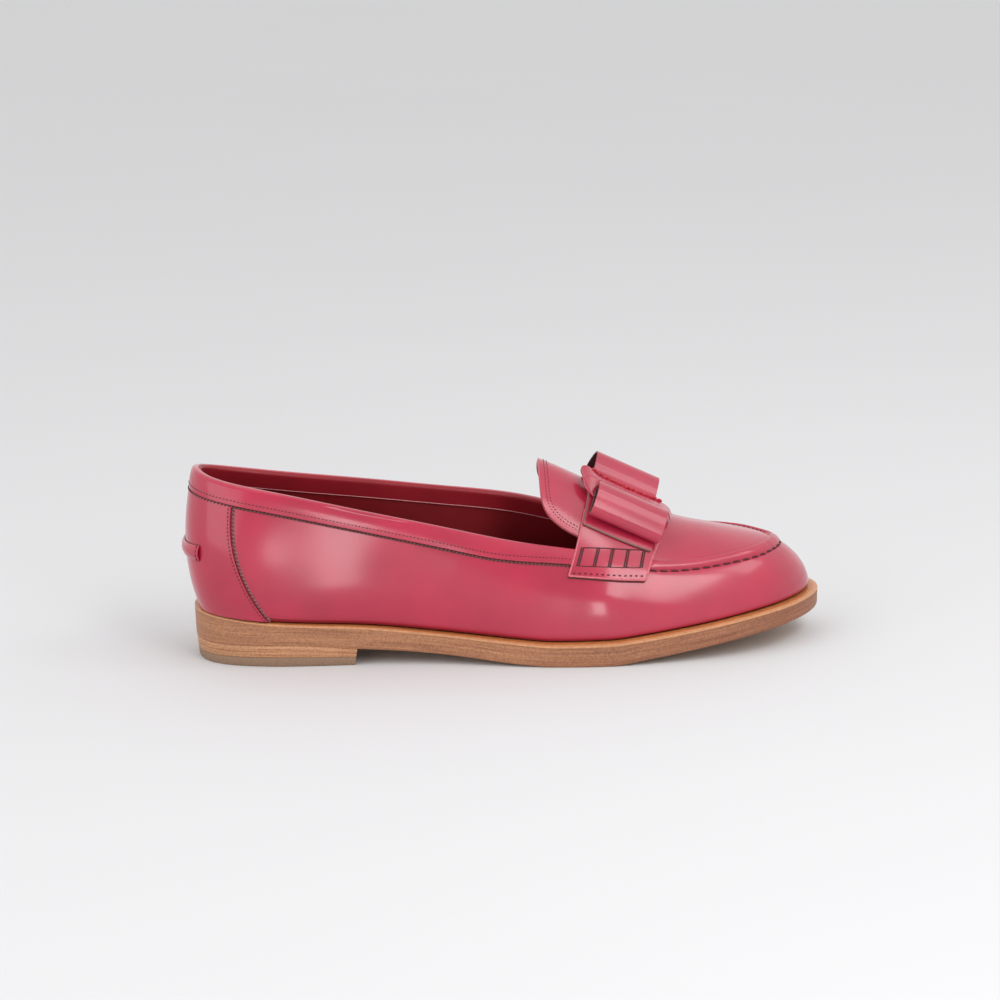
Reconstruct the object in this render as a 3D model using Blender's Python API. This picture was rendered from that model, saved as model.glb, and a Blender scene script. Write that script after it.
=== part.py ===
"""Right loafer with an apron, a saddle strap and a leather bow, on a stacked leather sole.

Sizes are in millimetres: X runs from the back of the sole to the toe, Y to the inner (medial)
side, Z up from the floor. The finished pieces hang on one empty, in metres, which sets the
middle of the footprint on the origin.
"""
import bmesh
import bpy
import numpy as np


def table(columns, *rows):
    """Short table as named columns of numbers."""
    return {name: np.array(values, float) for name, values in zip(columns.split(), zip(*rows))}


MM = 0.001
GAP = 0.3

# Sole and heel
WELT_THICKNESS = 3.2
WELT_SLOPE = 0.16
WELT_INNER = 4.6
WELT_BEVEL = 0.5
OUTSOLE_BEVEL = 0.9
HEEL_BEVEL = 0.35
BEVEL_GROWS = (58.0, 80.0)
OUTSOLE_DRAFT = 0.2
INSOLE_THICKNESS = 2.4
INSOLE_CLEAR = 0.9
INSOLE_DRAFT = 0.3
INSOLE_BEVEL = 0.5
BREAST_TOP_X = 65.8
BREAST_FLOOR_X = 64.9
BREAST_HOLLOW = 2.0
HEEL_STATIONS = 4.0
HEEL_TAPER = (0.45, 0.6, 0.8, 1.1)

# Upper, with the rolled seam round its apron
WALL = 1.8
ARCH_POWER = 1.9
SEAM_ROLL = 1.1
SEAM_WIDTH = 3.0
SEAM_FADE = 1.4
SEAM_STEP = 0.9
SEAM_STEP_LIMIT = 0.2

# Overlays on the upper
OVERLAY = 0.8
FOOT_CLEAR = 0.4
BINDING_WIDTH = 7.1
BINDING_NARROWING = 2.0
BINDING_NARROWS_AT = 4.4
BINDING_INNER = 2.5
TAB_MIDDLE = 46.6
TAB_HEIGHT = 6.3
TAB_THICKNESS = 0.9
STRAP_THICKNESS = 1.1
STRAP_CLEAR = 0.4

# Bow
INSTEP_SLOPE_DEG = 25.8
BOW_TILT_DEG = 4.2
BOW_MIDDLE_X = 177.8
BOW_PLATE = 0.8
BOW_GATHER = 2.0
BOW_GATHER_ENDS = 6.0
BOW_RIBBON = 0.8
KNOT_SIDES = (-9.2, -3.2)
KNOT_THICKNESS = 0.8
LATERAL_SPAN = (-16.0, 14.5)
MEDIAL_SPAN = (-17.2, 10.9)

# The last, one row for each station round the foot: heel, outer side, toe, inner side.
# foot: feather line; ledge: how far the sole stands out; low, high: bulge of the wall at one
# and two thirds of its height; top: collar line at the back, apron seam at the front.
LAST = table(
    "foot_x foot_y ledge low high top_x top_y top_z",
    (2.5, 0.0, 3.3, 4.0, 3.5, 1.6, 0.0, 77.3),
    (8.9, -18.7, 1.9, 3.3, 2.8, 10.0, -15.4, 75.2),
    (34.0, -27.3, 1.7, 2.2, 1.7, 38.0, -22.3, 69.2),
    (69.0, -28.3, 2.0, 2.5, 2.2, 71.0, -24.3, 61.6),
    (102.0, -30.8, 2.6, 2.6, 2.6, 103.0, -26.2, 54.4),
    (132.9, -37.4, 3.2, 2.6, 3.0, 134.0, -28.0, 47.6),
    (163.0, -40.6, 3.6, 2.5, 3.3, 163.0, -28.8, 43.0),
    (193.2, -38.0, 3.6, 2.3, 2.8, 192.0, -26.5, 38.0),
    (224.8, -29.4, 3.4, 2.5, 2.9, 220.3, -18.0, 38.9),
    (245.7, -12.9, 3.3, 3.1, 3.5, 232.2, -9.0, 40.0),
    (253.2, 5.5, 3.4, 3.5, 3.9, 237.3, 2.5, 40.5),
    (247.1, 22.4, 3.4, 3.7, 4.0, 232.2, 13.0, 40.6),
    (227.6, 34.8, 3.6, 3.1, 3.5, 220.3, 20.5, 41.5),
    (198.0, 40.2, 3.8, 2.8, 3.3, 192.0, 26.5, 43.0),
    (166.9, 38.6, 3.8, 2.6, 3.2, 163.0, 28.5, 47.2),
    (134.0, 29.5, 3.4, 3.0, 3.0, 134.0, 28.0, 54.9),
    (101.0, 22.0, 2.4, 2.8, 2.6, 103.0, 26.0, 59.8),
    (68.0, 24.3, 2.0, 2.6, 2.2, 71.0, 24.3, 64.3),
    (34.0, 27.0, 1.6, 2.5, 2.0, 38.0, 22.3, 68.7),
    (8.9, 18.7, 1.9, 3.3, 2.8, 10.0, 15.4, 74.0),
)
STATIONS = len(LAST["foot_x"])
TOE = STATIONS // 2

# Side profile of the sole: bottom of the outsole, top of the welt at the feather line.
SOLE_PROFILE = table(
    "x bottom top",
    (-2.0, 8.9, 21.9),
    (10.0, 8.9, 20.5),
    (35.0, 9.0, 18.1),
    (67.0, 6.9, 16.3),
    (100.0, 4.3, 13.0),
    (130.0, 1.0, 10.4),
    (145.0, 0.0, 9.4),
    (168.0, 0.0, 9.7),
    (181.0, 1.7, 10.9),
    (204.0, 4.9, 13.6),
    (230.0, 8.4, 16.8),
    (258.0, 11.2, 19.0),
)
# Side profile of the stacked heel: joint of the two leather lifts, top of the rubber piece.
HEEL_PROFILE = table(
    "x joint rubber",
    (0.0, 6.1, 3.7),
    (37.0, 6.4, 4.0),
    (70.0, 4.9, 3.4),
)
# Crest of the instep, tongue and apron in side view.
CREST = table(
    "x z",
    (138.0, 78.2),
    (150.0, 72.8),
    (163.0, 66.2),
    (178.0, 58.8),
    (190.0, 53.0),
    (200.0, 49.0),
    (210.0, 46.5),
    (222.0, 43.8),
    (232.0, 41.8),
    (237.3, 40.5),
)
# Rolled seam in section: distance below its edge, as a share of its width, and share of its height.
SEAM_SECTION = table(
    "drop rise",
    (1.0, 0.25),
    (0.5, 1.0),
    (0.0, 0.85),
)

# Places round the foot, as stations of the last; shares across it run from -1 to 1.
APRON_BACK = 6.0
SEAM_START = (6.75, 7.0)
TONGUE_TIP = 5.27
TONGUE_SIDE = 5.78
TONGUE_FRONT = 5.97
TONGUE_HALF = 0.87
TONGUE_CORNER = 10.0
STRAP_BACK = (5.62, 5.96)
STRAP_FRONT = (6.66, 7.04)
STRAP_SEAM = 0.835
STRAP_DROP = (0.26, 0.245)
PLATE_HALF = (0.64, 0.75)
PLATE_SPAN = (0.01, 0.95)
COUNTER_TOP = 1.36
COUNTER_FLARE = 0.52
COUNTER_FLARE_POWER = 2.2
TAB_HALF_STATION = 0.93
BINDING_END = (5.58, 5.69)

# Binding over the collar edge in section: distance off the wall's outer face, height over the edge.
BINDING_FOLD = table(
    "off up",
    (GAP + OVERLAY, 0.0),
    (0.7, 0.9),
    (-0.9, 1.2),
    (-WALL - GAP - 0.4, 0.9),
    (-WALL - GAP - OVERLAY, 0.0),
    (-WALL - GAP - OVERLAY, -BINDING_INNER),
    (-WALL - GAP, -BINDING_INNER),
    (-WALL - GAP, GAP),
    (GAP, GAP),
    (GAP, 0.0),
)
# Bow loops in section: distance to their own side of the instep's middle, height over it.
LATERAL_LOOP = table(
    "out up",
    (12.6, 2.3),
    (17.0, 0.8),
    (21.0, -2.0),
    (23.4, -4.6),
    (25.0, -5.6),
    (26.1, -4.6),
    (26.0, -2.2),
    (24.3, 0.8),
    (21.2, 3.7),
    (17.8, 5.3),
    (15.0, 5.6),
    (12.9, 5.2),
    (11.5, 4.1),
    (9.6, 3.1),
    (6.2, 2.95),
)
MEDIAL_LOOP = table(
    "out up",
    (4.5, 3.0),
    (8.5, 2.2),
    (12.5, 0.6),
    (15.8, -0.6),
    (17.8, -1.6),
    (19.2, -2.1),
    (20.1, -1.2),
    (20.3, 0.8),
    (19.2, 3.8),
    (17.0, 6.9),
    (14.4, 9.1),
    (11.6, 10.0),
    (8.8, 9.5),
    (5.2, 7.4),
    (1.8, 5.0),
    (-0.8, 3.75),
    (-3.0, 3.35),
    (-5.0, 3.3),
)
# Long edges of the band over the bow: distance along the instep, across it and off it.
KNOT_LATERAL = table(
    "along across up",
    (-15.6, -15.0, -0.8),
    (-18.7, -13.6, 0.4),
    (-21.0, -11.2, 2.6),
    (-21.0, -9.6, 4.3),
    (-18.6, -9.0, 4.9),
    (-14.5, -9.0, 4.6),
    (-7.0, -9.2, 4.5),
    (2.0, -9.2, 4.5),
    (9.0, -9.2, 4.5),
    (13.0, -9.2, 4.5),
    (16.1, -9.2, 3.6),
    (18.2, -9.2, 1.3),
)
KNOT_MEDIAL = table(
    "along across up",
    (-20.8, -4.2, 2.2),
    (-22.6, -3.8, 4.0),
    (-22.7, -3.4, 5.8),
    (-21.2, -3.2, 6.5),
    (-18.8, -3.2, 6.0),
    (-15.0, -3.2, 4.8),
    (-7.0, -3.2, 4.4),
    (2.0, -3.2, 4.4),
    (9.0, -3.2, 4.6),
    (13.0, -3.2, 4.7),
    (16.4, -3.2, 4.0),
    (18.9, -3.2, 2.0),
)

# Mesh densities
SPOKES_PER_STATION = 4
SPOKES = STATIONS * SPOKES_PER_STATION
WALL_ROWS = (0.0, 0.12, 0.28, 0.46, 0.64, 0.82, 1.0)
APRON_COLUMNS = (-0.75, -0.5, -0.25, 0.0, 0.25, 0.5, 0.75)
HEEL_ARC = 25
BREAST_STEPS = 7
ARC_SAMPLES = 401
TONGUE_GRID = (6, 17)
STRAP_GRID = (7, 25)
PLATE_GRID = (6, 15)
COUNTER_GRID = (8, 17)
TAB_GRID = (13, 3)
BINDING_STEPS = 57
LOOP_ROWS = 5
LOOP_SPAN_STEPS = 2
KNOT_COLUMNS = 3
KNOT_SPAN_STEPS = 3
MERGE_DISTANCE = 0.00001
SHARP_ANGLE = 0.7

# Finishes: colour and roughness
RED_LEATHER = ((0.50, 0.035, 0.06), 0.35)
LINING_LEATHER = ((0.22, 0.02, 0.025), 0.6)
SOLE_LEATHER = ((0.52, 0.26, 0.12), 0.55)
RUBBER = ((0.22, 0.15, 0.11), 0.7)


def clear_scene():
    for old in list(bpy.data.objects):
        bpy.data.objects.remove(old)


def smooth(profile, column, x):
    """Monotone cubic through a column of a profile, read at x."""
    knots = profile["x"]
    values = profile[column]
    width = np.diff(knots)
    rise = np.diff(values) / width
    slope = np.zeros(len(knots))
    same = rise[:-1] * rise[1:] > 0
    pair = np.where(same, rise[:-1] + rise[1:], 1.0)
    slope[1:-1] = np.where(same, 2.0 * rise[:-1] * rise[1:] / pair, 0.0)
    slope[0] = rise[0]
    slope[-1] = rise[-1]
    x = np.clip(x, knots[0], knots[-1])
    i = np.clip(np.searchsorted(knots, x, side="right") - 1, 0, len(width) - 1)
    h = width[i]
    t = (x - knots[i]) / h
    near = (1 + 2 * t) * (1 - t) ** 2 * values[i] + t * (1 - t) ** 2 * h * slope[i]
    far = t * t * (3 - 2 * t) * values[i + 1] + t * t * (t - 1) * h * slope[i + 1]
    return near + far


def closed_spline_bend(values):
    """Second derivatives of the closed cubic spline through values one station apart."""
    turn = np.eye(len(values))
    system = 4 * turn + np.roll(turn, 1, axis=0) + np.roll(turn, -1, axis=0)
    return np.linalg.solve(system, 6 * (np.roll(values, 1) - 2 * values + np.roll(values, -1)))


LAST_BEND = {name: closed_spline_bend(values) for name, values in LAST.items()}


def last_at(s):
    """Columns of the last, and their rate of change, at station s."""
    s = np.asarray(s, float) % STATIONS
    i = np.floor(s).astype(int) % STATIONS
    j = (i + 1) % STATIONS
    t = s - np.floor(s)
    row = {}
    rate = {}
    for name, values in LAST.items():
        bend = LAST_BEND[name]
        row[name] = (values[i] * (1 - t) + values[j] * t
                     + ((1 - t) ** 3 - (1 - t)) * bend[i] / 6 + (t ** 3 - t) * bend[j] / 6)
        rate[name] = (values[j] - values[i]
                      + (1 - 3 * (1 - t) ** 2) * bend[i] / 6 + (3 * t ** 2 - 1) * bend[j] / 6)
    return row, rate


def stack(x, y, z):
    return np.stack(np.broadcast_arrays(x, y, z), axis=-1).astype(float)


def unit(v):
    return v / np.linalg.norm(v, axis=-1, keepdims=True)


def outward(s):
    """Level direction out of the foot at station s."""
    rate = last_at(s)[1]
    return unit(stack(rate["foot_y"], -rate["foot_x"], 0.0))


def sole_bottom(x):
    return smooth(SOLE_PROFILE, "bottom", x)


def welt_top(x):
    return smooth(SOLE_PROFILE, "top", x)


def sole_split(x):
    """Joint of the outsole and the welt."""
    return welt_top(x) - WELT_THICKNESS


def outline(s, offset):
    """Plan points at a distance outside the feather line."""
    row = last_at(s)[0]
    return stack(row["foot_x"], row["foot_y"], 0.0) + outward(s) * np.asarray(offset)[..., None]


def foot(s):
    row = last_at(s)[0]
    return stack(row["foot_x"], row["foot_y"], welt_top(row["foot_x"]) + GAP)


def top(s):
    row = last_at(s)[0]
    return stack(row["top_x"], row["top_y"], row["top_z"])


def wall_length(s):
    return np.linalg.norm(top(s) - foot(s), axis=-1)


def bulge(w, own, other):
    """Cubic that is 1 at its own height and 0 at the other and at both edges."""
    return w * (w - other) * (w - 1) / (own * (own - other) * (own - 1))


def wall(s, w):
    """Outer face of the upper's wall: w is 0 at the feather line and 1 at the top edge."""
    s, w = np.broadcast_arrays(np.asarray(s, float), np.asarray(w, float))
    row = last_at(s)[0]
    swell = bulge(w, 1 / 3, 2 / 3) * row["low"] + bulge(w, 2 / 3, 1 / 3) * row["high"]
    base = foot(s)
    return base + (top(s) - base) * w[..., None] + outward(s) * swell[..., None]


def apron(s, u):
    """Top of the instep between the two seams: u is -1 at the outer side, 1 at the inner."""
    s, u = np.broadcast_arrays(np.asarray(s, float), np.asarray(u, float))
    outer = top(s)
    inner = top(STATIONS - s)
    middle = (outer + inner) / 2
    rise = smooth(CREST, "z", middle[..., 0]) - middle[..., 2]
    lift = rise * (1 - np.abs(u) ** ARCH_POWER)
    chord = middle + (inner - outer) / 2 * u[..., None]
    return chord + stack(0.0, 0.0, lift)


def surface_normal(surface, a, b, step=0.02):
    along = surface(a + step, b) - surface(a - step, b)
    across = surface(a, b + step) - surface(a, b - step)
    return unit(np.cross(along, across))


def finish(name, verts, faces, look):
    """Named object of one closed mesh, with its own material."""
    form = bmesh.new()
    points = [form.verts.new(tuple(p)) for p in np.asarray(verts) * MM]
    for face in faces:
        form.faces.new([points[i] for i in face])
    bmesh.ops.remove_doubles(form, verts=form.verts, dist=MERGE_DISTANCE)
    mesh = bpy.data.meshes.new(name)
    form.to_mesh(mesh)
    form.free()
    mesh.shade_smooth()
    mesh.set_sharp_from_angle(angle=SHARP_ANGLE)
    colour, roughness = look
    material = bpy.data.materials.new(name)
    material.use_nodes = True
    shader = material.node_tree.nodes["Principled BSDF"]
    shader.inputs["Base Color"].default_value = (*colour, 1.0)
    shader.inputs["Roughness"].default_value = roughness
    shader.inputs["Metallic"].default_value = 0.0
    mesh.materials.append(material)
    piece = bpy.data.objects.new(name, mesh)
    bpy.context.collection.objects.link(piece)
    return piece


def grid_faces(rows, columns, wrap=False):
    """Quads of a grid stored row by row; wrap joins the last row to the first."""
    faces = []
    for i in range(rows if wrap else rows - 1):
        k = (i + 1) % rows
        for j in range(columns - 1):
            faces.append((i * columns + j, k * columns + j, k * columns + j + 1, i * columns + j + 1))
    return faces


def close_sheet(outer, inner, faces):
    """Closed solid between two sheets with the same faces, rimmed along their open edges."""
    count = len(outer)
    edges = set()
    for face in faces:
        for a, b in zip(face, face[1:] + face[:1]):
            edges.add((a, b))
    rim = [(b, a, a + count, b + count) for a, b in edges if (b, a) not in edges]
    back = [tuple(i + count for i in reversed(face)) for face in faces]
    return np.concatenate([outer, inner]), faces + back + sorted(rim)


def overlay(name, points, normals, lift, thickness):
    """Leather patch on a surface grid, from lift to lift plus thickness over it."""
    rows, columns = points.shape[:2]
    base = points.reshape(-1, 3)
    away = normals.reshape(-1, 3)
    verts, faces = close_sheet(base + away * (lift + thickness), base + away * lift,
                               grid_faces(rows, columns))
    return finish(name, verts, faces, RED_LEATHER)


def loft_rings(rings):
    """Side faces between closed rings of equal length, first ring at the bottom."""
    count = len(rings[0])
    faces = []
    for level in range(len(rings) - 1):
        low = level * count
        for i in range(count):
            j = (i + 1) % count
            faces.append((low + i, low + j, low + count + j, low + count + i))
    return faces


def cap(first, count, upward):
    """Strips across a ring, from its outer side to its inner side."""
    faces = []
    for i in range(count // 2):
        j = i + 1
        face = [first + i, first + j, first + (count - j) % count, first + (count - i) % count]
        face = list(dict.fromkeys(face))
        if len(face) > 2:
            faces.append(tuple(face) if upward else tuple(reversed(face)))
    return faces


def ring_solid(name, rings, look):
    """Solid lofted through rings from bottom to top and capped at both ends."""
    count = len(rings[0])
    faces = loft_rings(rings)
    faces += cap(0, count, upward=False)
    faces += cap((len(rings) - 1) * count, count, upward=True)
    return finish(name, np.concatenate(rings), faces, look)


def spokes():
    return np.arange(SPOKES) / SPOKES_PER_STATION


def sole_ring(offset, height):
    """Ring round the foot; height gives z from the points' own x."""
    points = outline(spokes(), np.broadcast_to(offset, SPOKES))
    points[:, 2] = height(points[:, 0])
    return points


def make_outsole():
    """Sole with a raised bed inside the welt and a lower edge that is bevelled ahead of the heel."""
    last = last_at(spokes())[0]
    edge = last["ledge"]
    bed = -WELT_INNER - GAP
    ahead = np.clip((last["foot_x"] - BEVEL_GROWS[0]) / (BEVEL_GROWS[1] - BEVEL_GROWS[0]), 0, 1)
    bevel = HEEL_BEVEL + (OUTSOLE_BEVEL - HEEL_BEVEL) * ahead
    rings = [
        sole_ring(edge - bevel, sole_bottom),
        sole_ring(edge - OUTSOLE_DRAFT, lambda x: sole_bottom(x) + OUTSOLE_BEVEL),
        sole_ring(edge, lambda x: sole_split(x) - GAP),
        sole_ring(bed, lambda x: sole_split(x) - GAP),
        sole_ring(bed, lambda x: welt_top(x) - GAP),
    ]
    return ring_solid("outsole", rings, SOLE_LEATHER)


def make_welt():
    """Strip round the sole whose top falls away from the feather line."""
    edge = last_at(spokes())[0]["ledge"]
    slope = edge * WELT_SLOPE
    rings = [
        sole_ring(-WELT_INNER, sole_split),
        sole_ring(edge, sole_split),
        sole_ring(edge, lambda x: welt_top(x) - slope - WELT_BEVEL),
        sole_ring(edge - WELT_BEVEL, lambda x: welt_top(x) - slope),
        sole_ring(0.0, welt_top),
        sole_ring(-WELT_INNER, welt_top),
    ]
    count = len(rings) * SPOKES
    faces = [tuple(i % count for i in face) for face in loft_rings(rings + [rings[0]])]
    return finish("welt", np.concatenate(rings), faces, SOLE_LEATHER)


def make_insole():
    inset = -WALL - INSOLE_CLEAR
    rings = [
        sole_ring(inset - INSOLE_DRAFT, lambda x: welt_top(x) + GAP),
        sole_ring(inset, lambda x: welt_top(x) + GAP + INSOLE_THICKNESS / 2),
        sole_ring(inset - INSOLE_BEVEL, lambda x: welt_top(x) + GAP + INSOLE_THICKNESS),
    ]
    return ring_solid("insole", rings, LINING_LEATHER)


def heel_ring(taper, breast_x, height):
    """Heel outline back of the breast, which is slightly hollow."""
    s = np.linspace(-HEEL_STATIONS, HEEL_STATIONS, ARC_SAMPLES)
    points = outline(s, last_at(s)[0]["ledge"] - taper)
    half = len(s) // 2
    outer = np.interp(breast_x, points[half:, 0], s[half:])
    inner = np.interp(breast_x, points[half::-1, 0], s[half::-1])
    turn = np.linspace(inner, outer, HEEL_ARC)
    arc = outline(turn, last_at(turn)[0]["ledge"] - taper)
    across = np.linspace(0, 1, BREAST_STEPS)[1:-1]
    breast = arc[-1] + (arc[0] - arc[-1]) * across[:, None]
    breast[:, 0] -= BREAST_HOLLOW * 4 * across * (1 - across)
    ring = np.roll(np.concatenate([arc, breast]), -(HEEL_ARC // 2), axis=0)
    ring[:, 2] = height(ring[:, 0])
    return ring


def lift_joint(x):
    return smooth(HEEL_PROFILE, "joint", x)


def rubber_top(x):
    return smooth(HEEL_PROFILE, "rubber", x)


def make_heel():
    """Two leather lifts and a rubber top piece, parted by thin gaps, under the heel seat."""
    levels = [
        ("heel_lift_upper", lift_joint, lambda x: sole_bottom(x) - GAP, SOLE_LEATHER),
        ("heel_lift_lower", rubber_top, lambda x: lift_joint(x) - GAP, SOLE_LEATHER),
        ("heel_top_piece", np.zeros_like, lambda x: rubber_top(x) - GAP, RUBBER),
    ]
    breast_x = np.linspace(BREAST_TOP_X, BREAST_FLOOR_X, len(levels) + 1)
    for k, (name, bottom, crown, look) in enumerate(levels):
        rings = [
            heel_ring(HEEL_TAPER[k + 1], breast_x[k + 1], bottom),
            heel_ring(HEEL_TAPER[k], breast_x[k], crown),
        ]
        ring_solid(name, rings, look)


def upper_sheet():
    """Wall round the foot and apron between the seams: points, faces, height of the seam."""
    s = spokes()
    length = wall_length(s)
    below = 1 - (SEAM_WIDTH + SEAM_FADE) / length
    rows = [row * below for row in WALL_ROWS]
    rows += [1 - drop * SEAM_WIDTH / length for drop in SEAM_SECTION["drop"]]
    columns = len(rows)
    faces = grid_faces(SPOKES, columns, wrap=True)
    sides = np.minimum(s, STATIONS - s)
    on = np.clip((sides - SEAM_START[0]) / (SEAM_START[1] - SEAM_START[0]), 0, 1)
    relief = np.zeros((SPOKES, columns))
    relief[:, len(WALL_ROWS):] = SEAM_ROLL * on[:, None] * SEAM_SECTION["rise"]

    points = list(np.stack([wall(s, row) for row in rows], axis=1).reshape(-1, 3))
    relief = list(relief.reshape(-1))
    back = int(APRON_BACK * SPOKES_PER_STATION)
    tip = TOE * SPOKES_PER_STATION
    before = None
    for k in range(back, tip):
        half = np.linalg.norm(top(s[k]) - top(STATIONS - s[k])) / 2
        step = min(SEAM_STEP / half, SEAM_STEP_LIMIT)
        line = [k * columns + columns - 1]
        for u in (-1 + step, *APRON_COLUMNS, 1 - step):
            line.append(len(points))
            points.append(apron(s[k], u))
            relief.append(0.0)
        line.append((SPOKES - k) * columns + columns - 1)
        if before:
            for a in range(len(line) - 1):
                faces.append((before[a], line[a], line[a + 1], before[a + 1]))
        before = line
    nose = tip * columns + columns - 1
    for a in range(len(before) - 1):
        faces.append((before[a], nose, before[a + 1]))
    return np.array(points), faces, np.array(relief)


def sheet_normals(points, faces):
    total = np.zeros_like(points)
    for face in faces:
        ring = points[list(face)]
        area = np.zeros(3)
        for a, b in zip(ring, np.roll(ring, -1, axis=0)):
            area += np.cross(a - ring[0], b - ring[0])
        total[list(face)] += area
    return unit(total)


def make_upper():
    """One wall, open at the collar and underneath, with the seam rolled up round the apron."""
    points, faces, relief = upper_sheet()
    normals = sheet_normals(points, faces)
    verts, faces = close_sheet(points + normals * relief[:, None], points - normals * WALL, faces)
    return finish("upper", verts, faces, RED_LEATHER)


def make_tongue():
    """Rounded tab that carries the apron's arch back under the strap."""
    rows, columns = TONGUE_GRID
    turn = np.linspace(-np.pi / 2, np.pi / 2, columns)
    u = TONGUE_HALF * np.sin(turn)
    edge = TONGUE_TIP + (TONGUE_SIDE - TONGUE_TIP) * np.abs(np.sin(turn)) ** TONGUE_CORNER
    run = np.linspace(0, 1, rows)[:, None]
    s = edge + (TONGUE_FRONT - edge) * run
    u = np.broadcast_to(u, s.shape)
    return overlay("tongue", apron(s, u), surface_normal(apron, s, u), -WALL, WALL)


def strap_station(a, b):
    """Station of a strap point: a runs from its back to its front edge, b across the foot."""
    lean = 1 - b ** 2
    back = STRAP_BACK[0] + (STRAP_BACK[1] - STRAP_BACK[0]) * lean
    front = STRAP_FRONT[0] + (STRAP_FRONT[1] - STRAP_FRONT[0]) * lean
    return back + (front - back) * a


def strap_surface(a, b):
    """Surface under the strap: apron in the middle, wall past the seams."""
    s = strap_station(a, b)
    over = apron(s, np.clip(b / STRAP_SEAM, -1, 1))
    past = np.clip((np.abs(b) - STRAP_SEAM) / (1 - STRAP_SEAM), 0, None)
    side = np.where(b < 0, s, STATIONS - s)
    drop = STRAP_DROP[0] + (STRAP_DROP[1] - STRAP_DROP[0]) * a
    down = wall(side, 1 - drop * past)
    return np.where((past > 0)[..., None], down, over)


def strap_patch(span, half, grid):
    """Grid on the strap between two of its rows; half gives its reach at the back and the front."""
    rows, columns = grid
    a, b = np.meshgrid(np.linspace(*span, rows), np.linspace(-1, 1, columns), indexing="ij")
    b = b * np.linspace(*half, rows)[:, None]
    return strap_surface(a, b), surface_normal(strap_surface, a, b, step=0.05)


def make_strap():
    """Strap across the instep and the flat ribbon plate of the bow on it."""
    points, normals = strap_patch((0.0, 1.0), (1.0, 1.0), STRAP_GRID)
    overlay("saddle_strap", points, normals, STRAP_CLEAR, STRAP_THICKNESS)
    points, normals = strap_patch(PLATE_SPAN, PLATE_HALF, PLATE_GRID)
    overlay("bow_base", points, normals, STRAP_CLEAR + STRAP_THICKNESS + GAP, BOW_PLATE)


def binding_row(s):
    """Height on the wall of the binding's lower edge; the strip narrows towards the strap."""
    t = np.clip((np.abs(s) - BINDING_NARROWS_AT) / (BINDING_END[0] - BINDING_NARROWS_AT), 0, 1)
    width = BINDING_WIDTH - BINDING_NARROWING * t * t * (3 - 2 * t)
    return 1 - width / wall_length(s)


def make_counter():
    """Overlay round the heel, from the feather line to the binding."""
    rows, columns = COUNTER_GRID
    across, up = np.meshgrid(np.linspace(-1, 1, columns), np.linspace(0, 1, rows), indexing="ij")
    s = across * (COUNTER_TOP + COUNTER_FLARE * (1 - up) ** COUNTER_FLARE_POWER)
    lower = FOOT_CLEAR / wall_length(s)
    upper = binding_row(s) - FOOT_CLEAR / wall_length(s)
    w = lower + (upper - lower) * up
    return overlay("counter", wall(s, w), surface_normal(wall, s, w), GAP, OVERLAY)


def make_heel_tab():
    """Short strip across the back of the counter."""
    columns, rows = TAB_GRID
    s, v = np.meshgrid(np.linspace(-1, 1, columns) * TAB_HALF_STATION, np.linspace(-0.5, 0.5, rows),
                       indexing="ij")
    base = foot(s)[..., 2]
    w = (TAB_MIDDLE + TAB_HEIGHT * v - base) / (top(s)[..., 2] - base)
    return overlay("heel_tab", wall(s, w), surface_normal(wall, s, w), 2 * GAP + OVERLAY, TAB_THICKNESS)


def make_binding():
    """Strip folded over the collar: a long outer leg, the top and a short inner leg."""
    run = np.linspace(-1, 1, BINDING_STEPS)
    s = run * BINDING_END[1]
    edge = top(s)
    away = surface_normal(wall, s, np.ones_like(s))
    rise = unit(edge - wall(s, np.full_like(s, 0.98)))
    legs = []
    for share in (0.0, 0.5):
        reach = run * (BINDING_END[0] + (BINDING_END[1] - BINDING_END[0]) * share)
        lower = binding_row(reach)
        row = lower + (1 - lower) * share
        legs.append((wall(reach, row), surface_normal(wall, reach, row)))
    section = [p + n * (GAP + OVERLAY) for p, n in legs]
    section += [edge + away * off + rise * up for off, up in zip(BINDING_FOLD["off"], BINDING_FOLD["up"])]
    section += [p + n * GAP for p, n in reversed(legs)]
    rings = np.stack(section, axis=1)
    count, sides = rings.shape[:2]
    faces = []
    for i in range(count - 1):
        for j in range(sides):
            k = (j + 1) % sides
            faces.append((i * sides + j, (i + 1) * sides + j, (i + 1) * sides + k, i * sides + k))
    last = (count - 1) * sides
    for j in range(sides // 2 - 1):
        quad = (j, j + 1, sides - 2 - j, sides - 1 - j)
        faces.append(quad)
        faces.append(tuple(last + i for i in reversed(quad)))
    return finish("collar_binding", rings.reshape(-1, 3), faces, RED_LEATHER)


def bow_frame():
    """Middle of the bow on the crest, and its directions along, across and off the instep."""
    slope = np.radians(INSTEP_SLOPE_DEG)
    tilt = np.radians(BOW_TILT_DEG)
    middle = np.array([BOW_MIDDLE_X, 0.0, float(smooth(CREST, "z", np.array(BOW_MIDDLE_X)))])
    along = np.array([np.cos(slope), 0.0, -np.sin(slope)])
    across = np.array([0.0, np.cos(tilt), np.sin(tilt)])
    return middle, along, across, unit(np.cross(along, across))


def rounded_path(section, steps):
    """Smooth open curve through the rows of a section, with steps samples to each span."""
    points = np.stack(list(section.values()), axis=-1)
    ends = np.concatenate([[2 * points[0] - points[1]], points, [2 * points[-1] - points[-2]]])
    t = (np.arange(steps) / steps)[:, None]
    spans = []
    for p0, p1, p2, p3 in zip(ends, ends[1:], ends[2:], ends[3:]):
        spans.append(0.5 * (2 * p1 + (p2 - p0) * t + (2 * p0 - 5 * p1 + 4 * p2 - p3) * t ** 2
                            + (3 * p1 - p0 - 3 * p2 + p3) * t ** 3))
    return np.concatenate(spans + [points[-1:]])


def path_normals(path):
    run = unit(np.gradient(path, axis=0))
    return np.stack([-run[:, 1], run[:, 0]], axis=-1)


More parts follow.
